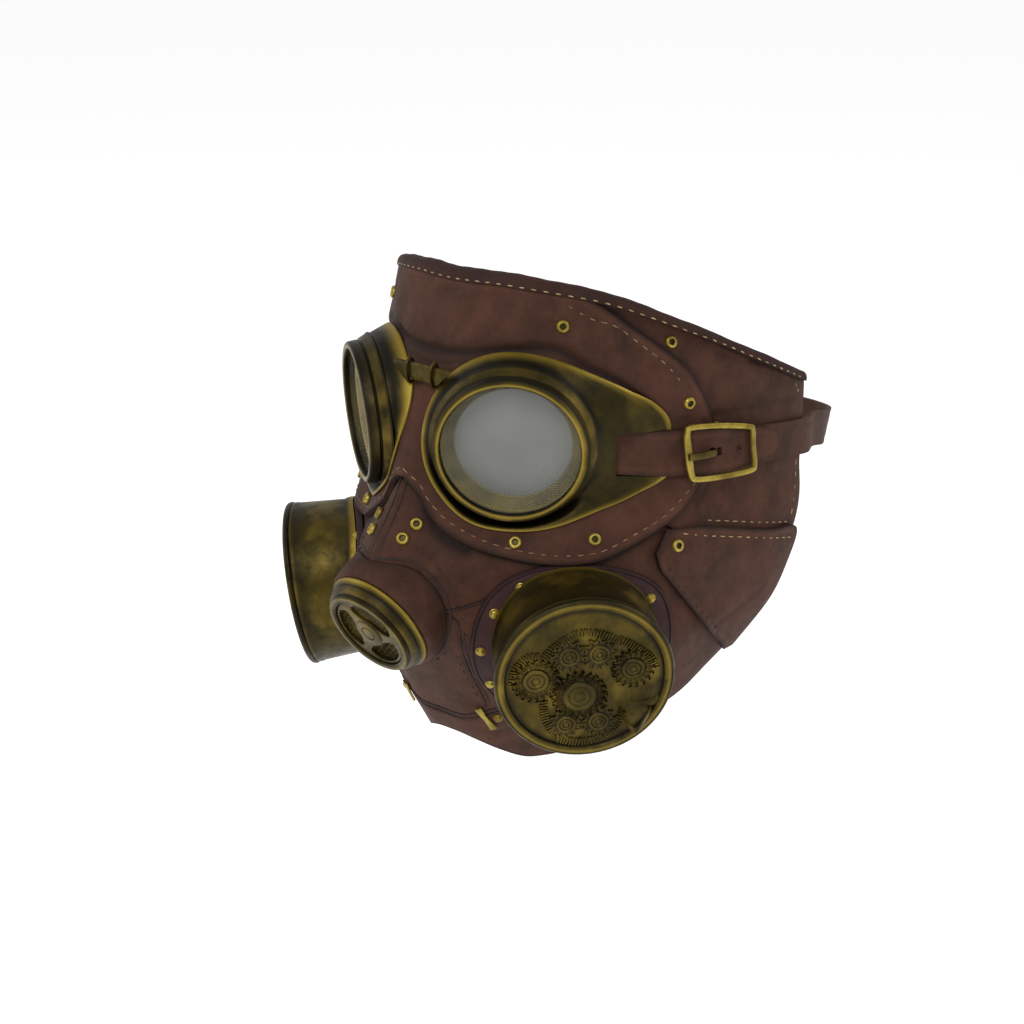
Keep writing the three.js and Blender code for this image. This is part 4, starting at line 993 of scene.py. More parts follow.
# Goggles: cup with wings for the strap, rim, clear glass, knurled ring and smoked pane
cupOutline = [
    (-180, 1.09), (-125, 1.08), (-85, 1.07), (-58, 1.14), (-40, 1.29), (-26, 1.57), (-15.5, 1.86),
    (-6, 1.79), (3.7, 1.78), (13, 1.65), (24.5, 1.42), (43, 1.2), (68, 1.09), (110, 1.08), (180, 1.09),
]
strapRoute = [  # angle, level, width share and lift in strap thicknesses above the brow
    (57, -0.021, 0.92, 0.1),
    (64, -0.025, 0.95, 0.15),
    (71, -0.029, 1, 0.2),
    (78.4, -0.032, 1, 0.3),
    (83, -0.034, 1, 0.8),
    (88.6, -0.036, 1, 1.5),
    (93, -0.038, 0.94, 1.2),
    (98.8, -0.04, 0.84, 0.85),
    (103, -0.041, 0.78, 0.75),
    (106, -0.042, 0.56, 0.7),
    (107.2, -0.042, 0.26, 0.7),
]
strap = {"thickness": 1.8, "width": 16.8, "headWidth": 14.6, "loopHalfWidth": 82, "loopDepth": 102,
         "loopCentre": 110, "loopDrop": 0.09, "loopLean": 4}


def alongStrap(column, angle):
    table = np.array(strapRoute)
    return curve(table[:, 0], table[:, column], angle)


def strapLevel(angle):
    return alongStrap(1, angle) * face["height"]


def strapLift(angle):
    return outerOver + face["seatGap"] + alongStrap(3, angle) * strap["thickness"]


def strapCutter():
    def ring(u, v):
        angle = strapRoute[0][0] - 0.4 + 27 * u
        corner = np.round(v * 4).astype(int) % 4
        half = alongStrap(2, angle) * strap["width"] / 2 + face["seatGap"]
        level = strapLevel(angle) + np.where((corner == 1) | (corner == 2), half, -half)
        return skin(angle, level, np.where(corner < 2, 20.0, 0.0))

    return swept("strap_cutter", 12, 4, ring)


def goggleCup():
    table = np.array(cupOutline)
    bore = goggle["bore"]
    back = goggle["rimBack"]
    # Down the bore, over the shoulder, out to the edge and back under: radius share past the rim, and side
    upper = [0.0, 0.06, 0.14, 0.25, 0.38, 0.52, 0.66, 0.8, 0.92, 0.985, 1.0]
    lower = [1.0, 0.985, 0.8, 0.5, 0.2, 0.0]
    rows = len(upper) + len(lower) + 5

    def ring(u, v):
        angle = -180 + 360 * u
        x = np.cos(np.radians(angle))
        y = np.sin(np.radians(angle))
        edge = back * curve(table[:, 0], table[:, 1], angle)
        flare = back + (edge - back) * 0.45
        edgeHeight = faceBehind(gogglePlace, edge * x, edge * y, outerOver) + goggle["lip"]
        flareFace = faceBehind(gogglePlace, flare * x, flare * y, outerOver) + goggle["lip"]
        flareHeight = np.maximum(cupFront + (edgeHeight - cupFront) * 0.45, flareFace)
        row = np.round(v * rows).astype(int)
        radius = np.empty_like(x)
        height = np.empty_like(x)

        def behind(reach, here, lift):
            return faceBehind(gogglePlace, reach * x[here], reach * y[here], lift)

        for k in range(rows + 1):
            here = row == k
            if k in (0, rows):
                radius[here] = bore
                height[here] = cupFront - 0.4
            elif k == 1:
                radius[here] = bore + 0.4
                height[here] = cupFront
            elif k == 2:
                radius[here] = back - 1.4
                height[here] = cupFront
            elif k < 3 + len(upper):
                share = upper[k - 3]
                spread = back - 0.6 + (edge[here] - back + 0.6) * share
                top = curve([0, 0.45, 1], np.stack([np.full(here.sum(), cupFront - 0.1), flareHeight[here],
                                                    edgeHeight[here]]), np.full(here.sum(), share))
                ground = behind(spread, here, outerOver) + goggle["lip"]
                radius[here] = spread
                height[here] = np.where(spread > cupFootRadius + 0.8, np.maximum(top, ground), top)
                if share == 1.0:
                    height[here] -= 0.35
                    radius[here] += 0.12
            elif k < 3 + len(upper) + len(lower):
                share = lower[k - 3 - len(upper)]
                spread = back + (edge[here] - back) * share
                ground = behind(spread, here, outerOver + face["seatGap"])
                radius[here] = spread
                height[here] = np.where(spread < cupFootRadius, np.minimum(ground, cupFoot), ground)
            else:
                spread = bore if k == rows - 1 else bore + 0.8
                ground = behind(spread, here, outerOver + face["seatGap"])
                radius[here] = spread
                height[here] = np.minimum(ground, cupFoot)
        return np.stack([radius * x, radius * y, height], 1)

    cup = swept("cup", 144, rows, ring, closed=True)
    notch = strapCutter()
    notch.data.transform(gogglePlace.inverted())
    return cutBy(cup, notch)


# Bright along the outer lip, where the metal is worn and a highlight is painted, painted shade inside it,
# and a dark line of painted shade where it meets the rim
def markCup(cup):
    points = readPoints(cup)
    angle = np.degrees(np.arctan2(points[:, 1], points[:, 0]))
    table = np.array(cupOutline)
    edge = goggle["rimBack"] * curve(table[:, 0], table[:, 1], angle)
    away = edge - np.hypot(points[:, 0], points[:, 1])
    markPoints(cup, "rubbedAndHighlight", near(away, 1.0))
    markPoints(cup, "shade", 1 - near(away, 1.8))
    inner = np.hypot(points[:, 0], points[:, 1]) - goggle["rimBack"]
    markPoints(cup, "seamAndShadowLine", near(inner - 0.3, 0.8))


# Dark lines of painted shade in grooves and where parts meet, and bright lines of worn metal and painted
# highlight on edges, at the given radii
def ringMarks(obj, darkRadii, brightRadii, width=0.32):
    reach = np.hypot(*readPoints(obj)[:, :2].T)
    dark = np.max([near(reach - radius, width) for radius in darkRadii] or [reach * 0], 0)
    bright = np.max([near(reach - radius, width) for radius in brightRadii] or [reach * 0], 0)
    markPoints(obj, "seamAndShadowLine", dark)
    markPoints(obj, "rubbedAndHighlight", bright)


def goggles():
    cup = goggleCup()
    markCup(cup)
    settlePair(cup, "cup", brassOld, "goggle_cup", gogglePlace, 32)
    lens = goggle["lens"]
    front = goggle["rimFront"]
    back = goggle["rimBack"]
    proud = goggle["rimProud"]
    depth = goggle["rimDepth"]
    seat = lens + 1 + face["seatGap"]
    rim = turnedPiece("rim", [
        (lens, 0), (lens, proud - 1), (lens + 0.25, proud - 0.35), (lens + 0.9, proud), (front - 1.2, proud),
        (front - 0.5, proud - 0.25), (front - 0.05, proud - 0.9), (front + 0.25, -1.9), (front - 0.1, -2.4),
        (front - 0.1, -2.9), (front + 0.75, -3.2), (back - 0.7, -5.9), (back - 0.15, -6.5), (back, -depth),
        (seat, -depth), (seat, 0), (lens, 0),
    ], 128)
    ringMarks(rim, [front - 0.1, lens + 0.05, back + 0.1], [lens + 0.8], 0.42)
    settlePair(rim, "rim", brassOld, "goggle_rim", gogglePlace, 30)
    glassEdge = lens + 1  # the glass reaches this far into its seat
    glass = turnedPiece("glass", [
        (0, -0.1), (8, -0.14), (16, -0.24), (glassEdge - 1, -0.34), (glassEdge, -0.42), (glassEdge, -2.3),
        (16, -2.2), (0, -2.1),
    ])
    settlePair(glass, "lens_glass", glassClear, "goggle_lens", gogglePlace)
    settlePair(knurledRing(), "knurled_ring", brassBright, None, gogglePlace, 20)
    pane = turnedPiece("pane", [(0, -8.1), (12, -8.15), (22.2, -8.3), (22.7, -8.5), (22.7, -8.9), (0, -8.8)])
    settlePair(pane, "smoked_pane", glassSmoked, None, gogglePlace)


# A sleeve with a fine diamond knurl between the glass and the pane
knurl = {"sides": 168, "rows": 12, "front": 26.9, "back": 22.4, "start": -2.7, "length": 5.9, "tooth": 0.3}


def knurledRing():
    sides, rows, start, length = (knurl[name] for name in ("sides", "rows", "start", "length"))
    front, back, tooth = (knurl[name] for name in ("front", "back", "tooth"))

    def ring(u, v):
        row = np.round(v * (rows + 2)).astype(int)
        turn = 2 * np.pi * u
        column = np.round(u * sides).astype(int)
        share = np.clip(row / rows, 0, 1)
        bump = np.where((column + row) % 2 == 0, tooth, -tooth)
        radius = front + (back - front) * share + bump
        depth = start - length * share
        outer = row > rows
        radius = np.where(outer, np.where(row == rows + 1, back + 1.2, front + 0.5), radius)
        depth = np.where(outer, np.where(row == rows + 1, -8.8, -2.9), depth)
        return np.stack([radius * np.cos(turn), radius * np.sin(turn), depth], 1)

    obj = sealed(wrapped("knurl", sides, rows + 2, ring), caps=False)
    points = readPoints(obj)
    slope = front + (back - front) * (start - points[:, 2]) / length
    # Painted shade in the knurl's dips, and bright ends of worn metal and painted highlight
    markPoints(obj, "seamAndShadowLine", np.clip((slope - np.hypot(points[:, 0], points[:, 1])) / tooth, 0, 1) * 0.7)
    ends = np.minimum(np.abs(points[:, 2] - start), np.abs(points[:, 2] - start + length))
    markPoints(obj, "rubbedAndHighlight", near(ends, 0.5))
    return obj


print("goggles")
goggles()


# The band between the goggles, with a wire ring near each end
bridge = {"height": 7, "thickness": 2.8, "standoff": 2.4, "level": 24.4, "ringOffset": 6.4, "wire": 1.3,
          "reach": 17, "dip": 0.008, "flare": 0.35}


def bridgeSpot(x, out, up):
    front = skin(0, bridge["level"], outerOver + bridge["standoff"])[0, 1]
    flare = 1 + bridge["flare"] * np.maximum(0, np.abs(x) - bridge["ringOffset"] - 2) / 8
    dip = bridge["dip"] * x * x
    y = front - bridge["thickness"] / 2 * (1 + out) + dip / 2
    z = bridge["level"] + bridge["height"] / 2 * up * flare - dip
    return np.stack([x, y, z], 1)


def bridgeBand():
    def ring(u, v):
        x = bridge["reach"] * (2 * u - 1)
        turn = 2 * np.pi * v
        out, up = squared(turn, 0.7)
        wave = 0.05 * np.sin(x * 1.3 + up * 2)
        return bridgeSpot(x, out + wave, up)

    band = swept("band", 60, 32, ring)
    clear = goggle["rimBack"] * 1.1 + face["seatGap"]
    cutBy(band, *[boreCutter(clear, -60, 20, place) for place in (gogglePlace, flip @ gogglePlace)])
    points = readPoints(band)
    low = (points[:, 2] - bridge["level"] + bridge["dip"] * points[:, 0] ** 2) / bridge["height"] * 2
    # Bright along the band's lower edge: worn metal and painted highlight
    markPoints(band, "rubbedAndHighlight", smooth((-low - 0.75) / 0.3))
    settle(band, "bridge_band_brass", brassOld, ["bridge_band"])
    bpy.ops.mesh.primitive_torus_add(major_segments=40, minor_segments=12, major_radius=1, minor_radius=0.1)
    loop = bpy.context.object
    points = readPoints(loop)
    turn = np.arctan2(points[:, 1], points[:, 0])
    out = (np.hypot(points[:, 0], points[:, 1]) - 1) * 10 * bridge["wire"] / 2
    centre = face["seatGap"] + bridge["wire"] / 2
    wrapRadius = bridge["thickness"] / 2 + centre + out
    wrapHeight = bridge["height"] / 2 + centre + out
    dip = bridge["dip"] * bridge["ringOffset"] ** 2
    front = skin(0, bridge["level"], outerOver + bridge["standoff"])[0, 1]
    x = bridge["ringOffset"] + points[:, 2] * 10 * bridge["wire"] / 2
    y = front - bridge["thickness"] / 2 + dip / 2 + wrapRadius * np.cos(turn)
    z = bridge["level"] - dip + wrapHeight * np.sin(turn)
    writePoints(loop, np.stack([x, y, z], 1))
    top = bridge["level"] - dip + bridge["height"] / 2 + centre
    bpy.ops.mesh.primitive_cone_add(
        vertices=12, radius1=bridge["wire"] * 0.5, radius2=0.12, depth=2.4,
        location=(bridge["ringOffset"], front - bridge["thickness"] / 2, top + 0.9)
    )
    tip = bpy.context.object
    bpy.ops.object.transform_apply(location=True)
    joinedTo(loop, tip)
    settlePair(loop, "bridge_wire", brassOld, "bridge_ring")


print("bridge")
bridgeBand()


strapGrooves = (0.13, 0.87)  # shares across, pressed in along both edges


# A flat strap: place gives points for shares along and across and a lift through its thickness
def flatStrap(name, place, along):
    thickness = strap["thickness"]
    across = 14

    def ring(u, v):
        # v runs over the top face, round an edge, back under and round the other edge
        turn = v * (2 * across + 4)
        over = np.clip(turn / across, 0, 1)
        under = np.clip((turn - across - 2) / across, 0, 1)
        isUnder = turn > across + 1
        share = np.where(isUnder, 1 - under, over)
        groove = sum(near(share - at, 0.035) for at in strapGrooves)
        swell = 0.1 * (1 - (2 * share - 1) ** 6)
        lift = np.where(isUnder, 0.0, thickness - 0.16 * groove + swell)
        edge = np.abs(turn - across - 1) < 0.5
        share = np.where(edge, 1.012, share)
        lift = np.where(edge, thickness / 2, lift)
        last = turn > 2 * across + 2.5
        share = np.where(last & (turn < 2 * across + 3.5), -0.012, share)
        lift = np.where(last & (turn < 2 * across + 3.5), thickness / 2, lift)
        lift = np.where(turn > 2 * across + 3.5, thickness, lift)
        return place(u, share, lift)

    return swept(name, along, 2 * across + 4, ring)


def markStrap(obj):
    share = strapShare(readPoints(obj))
    lines = sum(near(share - at, 0.03) for at in strapGrooves)
    markPoints(obj, "rubbedAndHighlight", lines * 0.55)
    edges = near(share, 0.05) + near(1 - share, 0.05)
    markPoints(obj, "shade", np.clip(edges, 0, 1))


buckle = {"wire": 2.2, "front": 78.4, "middle": 88.6, "rear": 97.8, "prong": 2.4, "hole": 94.6}


def spotBox(angle, level, along, across, low, high):
    box = boxPiece("slot", (along, across, high - low), (0, 0, (low + high) / 2))
    box.data.transform(fittingPlace(skin(angle, level)[0], angle, 0))
    return box


def goggleStrap():
    def place(u, share, lift):
        start = strapRoute[0][0]
        angle = start + (strapRoute[-1][0] - start) * u
        half = alongStrap(2, angle) * strap["width"] / 2
        return skin(angle, strapLevel(angle) + half * (2 * share - 1), strapLift(angle) + lift)

    obj = flatStrap("goggle_strap", place, 130)
    level = strapLevel(buckle["middle"])[0]
    slot = spotBox(buckle["middle"] - 1.6, level, 4.6, buckle["prong"] + 2 * face["seatGap"], 0, 20)
    holePlace = fittingPlace(skin(buckle["hole"], strapLevel(buckle["hole"])[0])[0], buckle["hole"], 0)
    hole = boreCutter(0.85, 0, 20, holePlace, 20)
    cutBy(obj, slot, hole)
    markStrap(obj)
    settlePair(obj, "goggle_strap_leather", leatherBrown, "goggle_strap", smoothAngle=45)
    profile = [(0.75, 0), (1.35, 0), (1.35, 0.25), (1.1, 0.4), (0.8, 0.25), (0.75, 0)]
    ring = turnedPiece("hole_ring", profile, 24)
    ring.data.transform(Matrix.Translation((0, 0, strapLift(buckle["hole"])[0] + strap["thickness"] + 0.05)))
    settlePair(ring, "strap_hole_ring", threadDark, None, holePlace)


def strapShare(points):
    angle, level, _ = aroundHead(points)
    half = alongStrap(2, np.abs(angle)) * strap["width"] / 2
    return (level - strapLevel(np.abs(angle)) + half) / (2 * half)


# Angle, level and lift of the head strap where it lies on the mask
headStrapStart = [(89.8, -0.036, 3.4), (92, -0.037, 3), (95, -0.039, 2), (99, -0.042, 1.3), (105, -0.047, 1),
                  (112, -0.053, 0.7), (118, -0.059, 0.5), (124, -0.066, 0.4)]


def headStrap():
    table = np.array(headStrapStart)
    height = face["height"]
    lastAngle, lastLevel, _ = headStrapStart[-1]
    leaving = skin(lastAngle, lastLevel * height)[0]
    firstTurn = math.asin((leaving[1] - strap["loopCentre"]) / strap["loopDepth"]) + 0.09
    steps = 9
    stations = len(table) + steps + 1

    # Both edges of the strap at each station, then a smooth curve through them
    def station(share, lift):
        rows = []
        for angle, level, base in headStrapStart:
            width = strap["headWidth"] * (2 * share - 1) / 2
            rows.append(skin(angle, level * height + width, base + lift)[0])
        for i in range(steps + 1):
            turn = firstTurn + (math.pi / 2 - firstTurn) * i / steps
            level = lastLevel * height - strap["loopDrop"] * height * math.sin(math.pi / 2 * i / steps)
            out = lift - strap["loopLean"] * float(smooth(i / 4)) * (1 - share)
            rows.append([
                (strap["loopHalfWidth"] + out) * math.cos(turn),
                strap["loopCentre"] + (strap["loopDepth"] + out) * math.sin(turn),
                level + (share - 0.5) * strap["headWidth"],
            ])
        return np.array(rows)

    def place(u, share, lift):
        side = np.where(u < 0.5, 1, -1)
        at = (stations - 1) * np.minimum(u, 1 - u) * 2
        points = np.empty((len(u), 3))
        keys = np.round(np.stack([share, lift], 1), 5)
        for key in np.unique(keys, axis=0):
            here = (keys == key).all(1)
            rows = station(*key)
            for axis in range(3):
                points[here, axis] = curve(np.arange(stations), rows[:, axis], at[here])
        points[:, 0] *= side
        return points

    obj = flatStrap("head_strap", place, 260)
    settle(obj, "head_strap_leather", leatherBrown, ["head_strap"], smoothAngle=45)


# A bar along points on the face, given as angle, level and lift, with a rounded section
def barAlong(name, points, width, depth, steps, closed, sides=16, square=0.7):
    table = np.array(points, float)
    if closed:
        table = np.vstack([table[-2:], table, table[:3]])
    index = np.arange(len(table))
    first, last = (2, len(table) - 3) if closed else (0, len(table) - 1)

    def centre(at):
        return skin(*[curve(index, column, at) for column in table.T])

    def ring(u, v):
        at = first + (last - first) * u
        middle = centre(at)
        ahead = unit(centre(at + 0.02) - centre(at - 0.02))
        out = middle - np.array([0, face["axisDepth"], 0])
        out[:, 2] = 0
        across = unit(np.cross(ahead, unit(out)))
        out = np.cross(across, ahead)
        turn = 2 * np.pi * v
        flatX, flatY = squared(turn, square)
        wide = width(at - first) if callable(width) else width
        return middle + across * (flatX * wide / 2)[:, None] + out * (flatY * depth / 2)[:, None]

    return swept(name, steps, sides, ring, closed=closed)


def buckles():
    wire = buckle["wire"]
    gap = face["seatGap"]

    def overStrap(angle):
        return strapLift(angle)[0] + strap["thickness"] + 2 * gap + wire / 2

    def half(angle):
        return alongStrap(2, angle)[0] * strap["width"] / 2 + gap + wire / 2

    corner = 1.4
    bend = corner * 1.4
    front, middle, rear = buckle["front"], buckle["middle"], buckle["rear"]
    lift = overStrap(front)
    rearLift = overStrap(rear)
    levels = {angle: strapLevel(angle)[0] for angle in (front, middle, rear)}

    def side(sign):
        return [
            (front, levels[front] + sign * (half(front) - bend), lift),
            (front + corner, levels[front] + sign * half(front), lift),
            (middle, levels[middle] + sign * half(middle), lift),
            (rear - corner, levels[rear] + sign * half(rear), rearLift),
            (rear, levels[rear] + sign * (half(rear) - bend), rearLift),
        ]

    loop = [
        (front, levels[front], lift),
        *side(1),
        (rear, levels[rear], rearLift),
        *reversed(side(-1)),
    ]

    def barWidth(at):
        return wire * (1 + 0.5 * near(np.minimum(at, len(loop) - at), 0.9))

    outer = barAlong("buckle", loop, barWidth, wire * 0.8, 180, True, 16, 0.45)
    barWire = wire * 0.8
    barLift = strapLift(middle)[0] - gap - barWire / 2
    level = levels[middle]
    cross = [
        (middle, level + half(middle), lift),
        (middle, level + half(middle) - 0.4, barLift),
        (middle, level, barLift),
        (middle, level - half(middle) + 0.4, barLift),
        (middle, level - half(middle), lift),
    ]
    bar = barAlong("buckle_bar", cross, barWire, barWire, 30, False, 12)
    joinedTo(outer, bar)
    settlePair(outer, "buckle_brass", brassBright, "buckle_frame", smoothAngle=50)
    tipLift = lift + wire / 2 + gap + 0.8
    overTop = strapLift(middle)[0] + strap["thickness"]
    prong = [
        (middle - 0.95, level, barLift),
        (middle - 1.5, level, barLift + 1.6),
        (middle - 2.6, level, overTop + 0.6),
        (middle - 5, level, tipLift - 0.4),
        (front + 0.5, level, tipLift),
        (front - 0.9, level, tipLift - 0.1),
    ]
    tongue = barAlong("prong", prong, buckle["prong"] * 1.15, 1.7, 40, False, 16, 0.6)
    settlePair(tongue, "buckle_prong_brass", brassOld, "buckle_prong", smoothAngle=50)


print("straps and buckles")
goggleStrap()
headStrap()
buckles()


# The front valve: leather collar, brass ring, and a pierced plate over woven wire
def valveParts():
    base = valve["collarBase"]
    front = valve["collarDepth"]
    bore = valve["inner"] + face["seatGap"]
    outer = valve["collarFront"]

    def ring(u, v):
        turn = 2 * np.pi * u
        x, y = np.cos(turn), np.sin(turn)
        row = np.round(v * 12).astype(int)
        foot = faceBehind(valvePlace, base * x, base * y, innerOver + face["layerGap"])
        inside = faceBehind(valvePlace, bore * x, bore * y, innerOver + face["layerGap"])
        swell = [0, 0, 0, 0.1, 0.45, 0.55, 0.45, 0.25, 0.1, 0.3]
        radius = np.empty_like(x)
        height = np.empty_like(x)
        steps = [0, 0, 0, 0, 0.2, 0.4, 0.6, 0.75, 0.86, 0.94, 1]
        for k in range(13):
            here = row == k
            if k in (0, 12):
                radius[here], height[here] = bore, front - 0.3
            elif k == 1:
                radius[here], height[here] = bore + 0.5, front
            elif k == 2:
                radius[here], height[here] = outer - 0.9, front
            elif k < 11:
                share = steps[k]
                radius[here] = outer + (base - outer) * share + (swell[k] if k < 10 else 0)
                height[here] = front - 0.7 + (foot[here] - front + 0.7) * share
            else:
                radius[here], height[here] = bore, inside[here]
        return np.stack([radius * x, radius * y, height], 1)

    collar = swept("collar", 120, 12, ring, closed=True)
    points = readPoints(collar)
    reach = np.hypot(points[:, 0], points[:, 1])
    ground = faceBehind(valvePlace, points[:, 0], points[:, 1], innerOver + face["layerGap"])
    # A dark line of painted shadow where the collar meets the mask, and painted shade up its foot
    markPoints(collar, "seamAndShadowLine", near(points[:, 2] - ground, 0.9) * (reach > outer))
    markPoints(collar, "shade", near(points[:, 2] - ground, 3.5))
    settle(collar, "valve_collar_leather", leatherBrown, ["valve_collar"], valvePlace, 45)
    inner, wide, grille = valve["inner"], valve["ring"], valve["grille"]
    gap = face["seatGap"]
    body = turnedPiece("valve_ring", [
        (grille + gap, -10), (inner, -10), (inner, front + gap), (wide - 0.4, front + gap),
        (wide, front + 0.6), (wide + 0.02, front + 1.2), (wide - 0.25, -5.5), (wide - 1.05, -4.5),
        (wide - 1.25, -4.1),
        (wide - 1.15, -3.8), (inner + 1.4, -1.4), (inner + 0.7, -1), (inner + 0.1, -0.95), (inner, -0.5),
        (inner - 0.1, 0.6), (inner - 0.5, 0.95), (inner - 1.1, 1), (grille + gap + 0.5, 0.95),
        (grille + gap, 0.6), (grille + gap, -10),
    ], 112)
    ringMarks(body, [wide - 1.25, inner + 0.15, grille + 1], [wide, inner - 0.8], 0.3)
    settle(body, "valve_ring_brass", brassOld, ["valve_ring"], valvePlace, 30)
    plate = grillePlate(grille)
    settle(plate, "valve_plate_brass", brassOld, ["valve_grille"], valvePlace, 30)
    mesh = wovenWire(grille - 0.4, -1.6)
    settle(mesh, "valve_wire_mesh", brassOld, (), valvePlace, 60)


# A hub with a grooved boss, three arms and a rim, cut from a disc
def grillePlate(radius):
    plate = turnedPiece("plate", [(0, -1.3), (radius, -1.3), (radius, -0.2), (radius - 0.3, 0), (0, 0)], 96)
    cutters = []
    for arm in range(3):
        start = math.radians(120 * arm + 9)
        end = math.radians(120 * arm + 111)
        lowRadius, highRadius = radius * 0.42, radius * 0.93

        def lobe(u, v, start=start, end=end, lowRadius=lowRadius, highRadius=highRadius):
            corner = np.round(v * 4).astype(int) % 4
            isHigh = (corner == 1) | (corner == 2)
            pinch = 0.5 * (1 - np.sin(np.pi * u)) ** 3
            inside = lowRadius + (highRadius - lowRadius) * pinch
            outside = highRadius - (highRadius - lowRadius) * pinch * 0.6
            reach = np.where(isHigh, outside, inside)
            turn = start + (end - start) * u
            depth = np.where(corner < 2, 3.0, -4.0)
            return np.stack([reach * np.cos(turn), reach * np.sin(turn), depth], 1)

        cutters.append(swept("lobe", 20, 4, lobe))
    cutBy(plate, *cutters)
    applied(plate, "BEVEL", width=0.25, segments=2, limit_method="ANGLE", angle_limit=math.radians(50))
    boss = turnedPiece("boss", [
        (0, -0.6), (6.4, -0.6), (6.3, 0.1), (5.7, 0.45), (3.5, 0.5), (3.2, 0.2), (2.9, 0.2), (2.6, 0.55),
        (0, 0.7),
    ], 48)
    ringMarks(boss, [3.05, 6.35], [], 0.25)
    joinedTo(plate, boss)
    return plate


def wovenWire(radius, depth):
    pitch = 1.5
    wires = []
    count = int(radius / pitch)
    for direction in (0, 1):
        for k in range(-count, count + 1):
            offset = k * pitch
            reach = math.sqrt(max(radius**2 - offset**2, 0.1))

            def ring(u, v, offset=offset, reach=reach, direction=direction, k=k):
                along = reach * (2 * u - 1)
                phase = math.pi * (along / pitch + k + direction)
                height = depth + 0.22 * np.cos(phase)
                turn = 2 * np.pi * v
                side = offset + 0.27 * np.cos(turn)
                height = height + 0.27 * np.sin(turn)
                x, y = (along, side) if direction == 0 else (side, along)
                return np.stack([x, y, height], 1)

            wires.append(swept("wire", max(6, int(reach * 4 / pitch)), 5, ring))
    return joinedTo(wires[0], *wires[1:])


print("valve")
valveParts()


# Canisters
canister = {"across": 78.2, "depth": -0.7, "level": -81.5, "yaw": 49, "pitch": 10, "radius": 34.2,
            "rear": 31.6, "wall": 1.8, "faceThickness": 2.6, "recess": 29.8, "relief": 1.1, "plate": -1.2}
canisterPlace = fittingPlace((canister["across"], canister["depth"], canister["level"]), canister["yaw"],
                             canister["pitch"])
flange = {"bore": 27, "radius": 40, "thickness": 2}
flangeOutline = [(-60, 1.02), (0, 0.97), (30, 0.96), (60, 0.85), (90, 0.8), (120, 0.85), (150, 0.96),
                 (190, 1.01), (230, 1.03), (300, 1.02)]
flangeRivets = [(-20.9, 23.2), (-31, 13.1), (-36.3, -2), (-31.9, -19.4), (-27.4, -41.4), (29.3, 16.5)]

# Gears cast on the face: centre and tip radius as shares of the canister's radius, teeth and hub share
gearRows = [
    (-0.05, -0.21, 0.31, 22, 0.6),
    (-0.54, 0.01, 0.27, 20, 0.55),
    (-0.18, 0.3, 0.2, 12, 0.6),
    (0.15, 0.32, 0.2, 12, 0.6),
    (0.53, 0.12, 0.24, 18, 0.55),
    (-0.19, -0.57, 0.19, 12, 0.6),
    (0.17, -0.55, 0.2, 12, 0.6),
]
# Rows of fine teeth round the gears, as points on the face in millimetres
toothArcs = [
    [(-17, 8), (-11.5, 14.5), (-5, 19.2), (2, 19.9), (8, 18.2), (13.5, 15.6)],
    [(12.5, 16.6), (18.5, 13.2), (24.2, 8.6), (26.6, 3.6)],
    [(-27.4, -1.5), (-26, 5.6), (-21.6, 10.2), (-17.6, 10.6)],
    [(-15.2, -9.4), (-14.8, -15), (-12.4, -21), (-9, -25.4)],
    [(-9.2, -26.2), (-2.2, -28), (5, -27.2), (11.4, -22.8), (15, -15.6)],
]


def canisterFlange():
    table = np.array(flangeOutline)
    under = innerOver + face["layerGap"]
    over = under + flange["thickness"]
    # Bore, then over the top to the edge and back below: share from bore to edge, and rise above over
    profile = [(0, 0), (0.3, 0), (0.6, 0), (0.8, 0), (0.88, -0.1), (0.9, -0.35), (0.915, -0.1), (0.95, 0.1),
               (0.985, -0.25), (1, -0.9), (1, -2), (0.5, -2), (0, -2), (0, 0)]

    def ring(u, v):
        degrees = 360 * u
        degrees = np.where(degrees > 300, degrees - 360, degrees)
        edge = flange["radius"] * curve(table[:, 0], table[:, 1], degrees)
        row = np.round(v * (len(profile) - 1)).astype(int)
        share = np.array([p[0] for p in profile])[row]
        rise = np.array([p[1] for p in profile])[row]
        reach = flange["bore"] + (edge - flange["bore"]) * share
        x = reach * np.cos(np.radians(degrees))
        y = reach * np.sin(np.radians(degrees))
        height = np.empty_like(x)
        for value in np.unique(rise):
            here = rise == value
            height[here] = faceBehind(canisterPlace, x[here], y[here], over + value)
        return np.stack([x, y, height], 1)

    obj = swept("flange", 144, len(profile) - 1, ring, closed=True)
    points = readPoints(obj)
    degrees = np.degrees(np.arctan2(points[:, 1], points[:, 0]))
    degrees = np.where(degrees < -60, degrees + 360, degrees)
    degrees = np.where(degrees > 300, degrees - 360, degrees)
    edge = flange["radius"] * curve(table[:, 0], table[:, 1], degrees)
    share = (np.hypot(points[:, 0], points[:, 1]) - flange["bore"]) / (edge - flange["bore"])
    # A dark line of painted shade in the groove near the edge, and painted shade at the edge
    markPoints(obj, "seamAndShadowLine", near(share - 0.9, 0.018))
    markPoints(obj, "shade", near(share - 1, 0.05))
    settlePair(obj, "flange_leather", leatherPlum, "canister_flange", canisterPlace, 50)
    dome = [(0, 0), (2.0, 0), (2.0, 0.35), (1.75, 0.5), (1.6, 0.95), (1.1, 1.45), (0, 1.7)]
    rivet = turnedPiece("rivet", dome, 20)
    places = []
    for x, y in flangeRivets:
        seat = (over if math.hypot(x, y) < flange["radius"] else innerOver) + 0.05
        height = faceBehind(canisterPlace, x, y, seat)[0]
        spot = canisterPlace @ Vector((x, y, height))
        angle, level, _ = aroundHead(np.array([spot]))
        places.append(spotPlace(angle[0], level[0], seat))
    rivets = scattered("flange_rivets", rivet, places)
    remove(rivet)
    settlePair(rivets, "flange_rivets", brassBright)


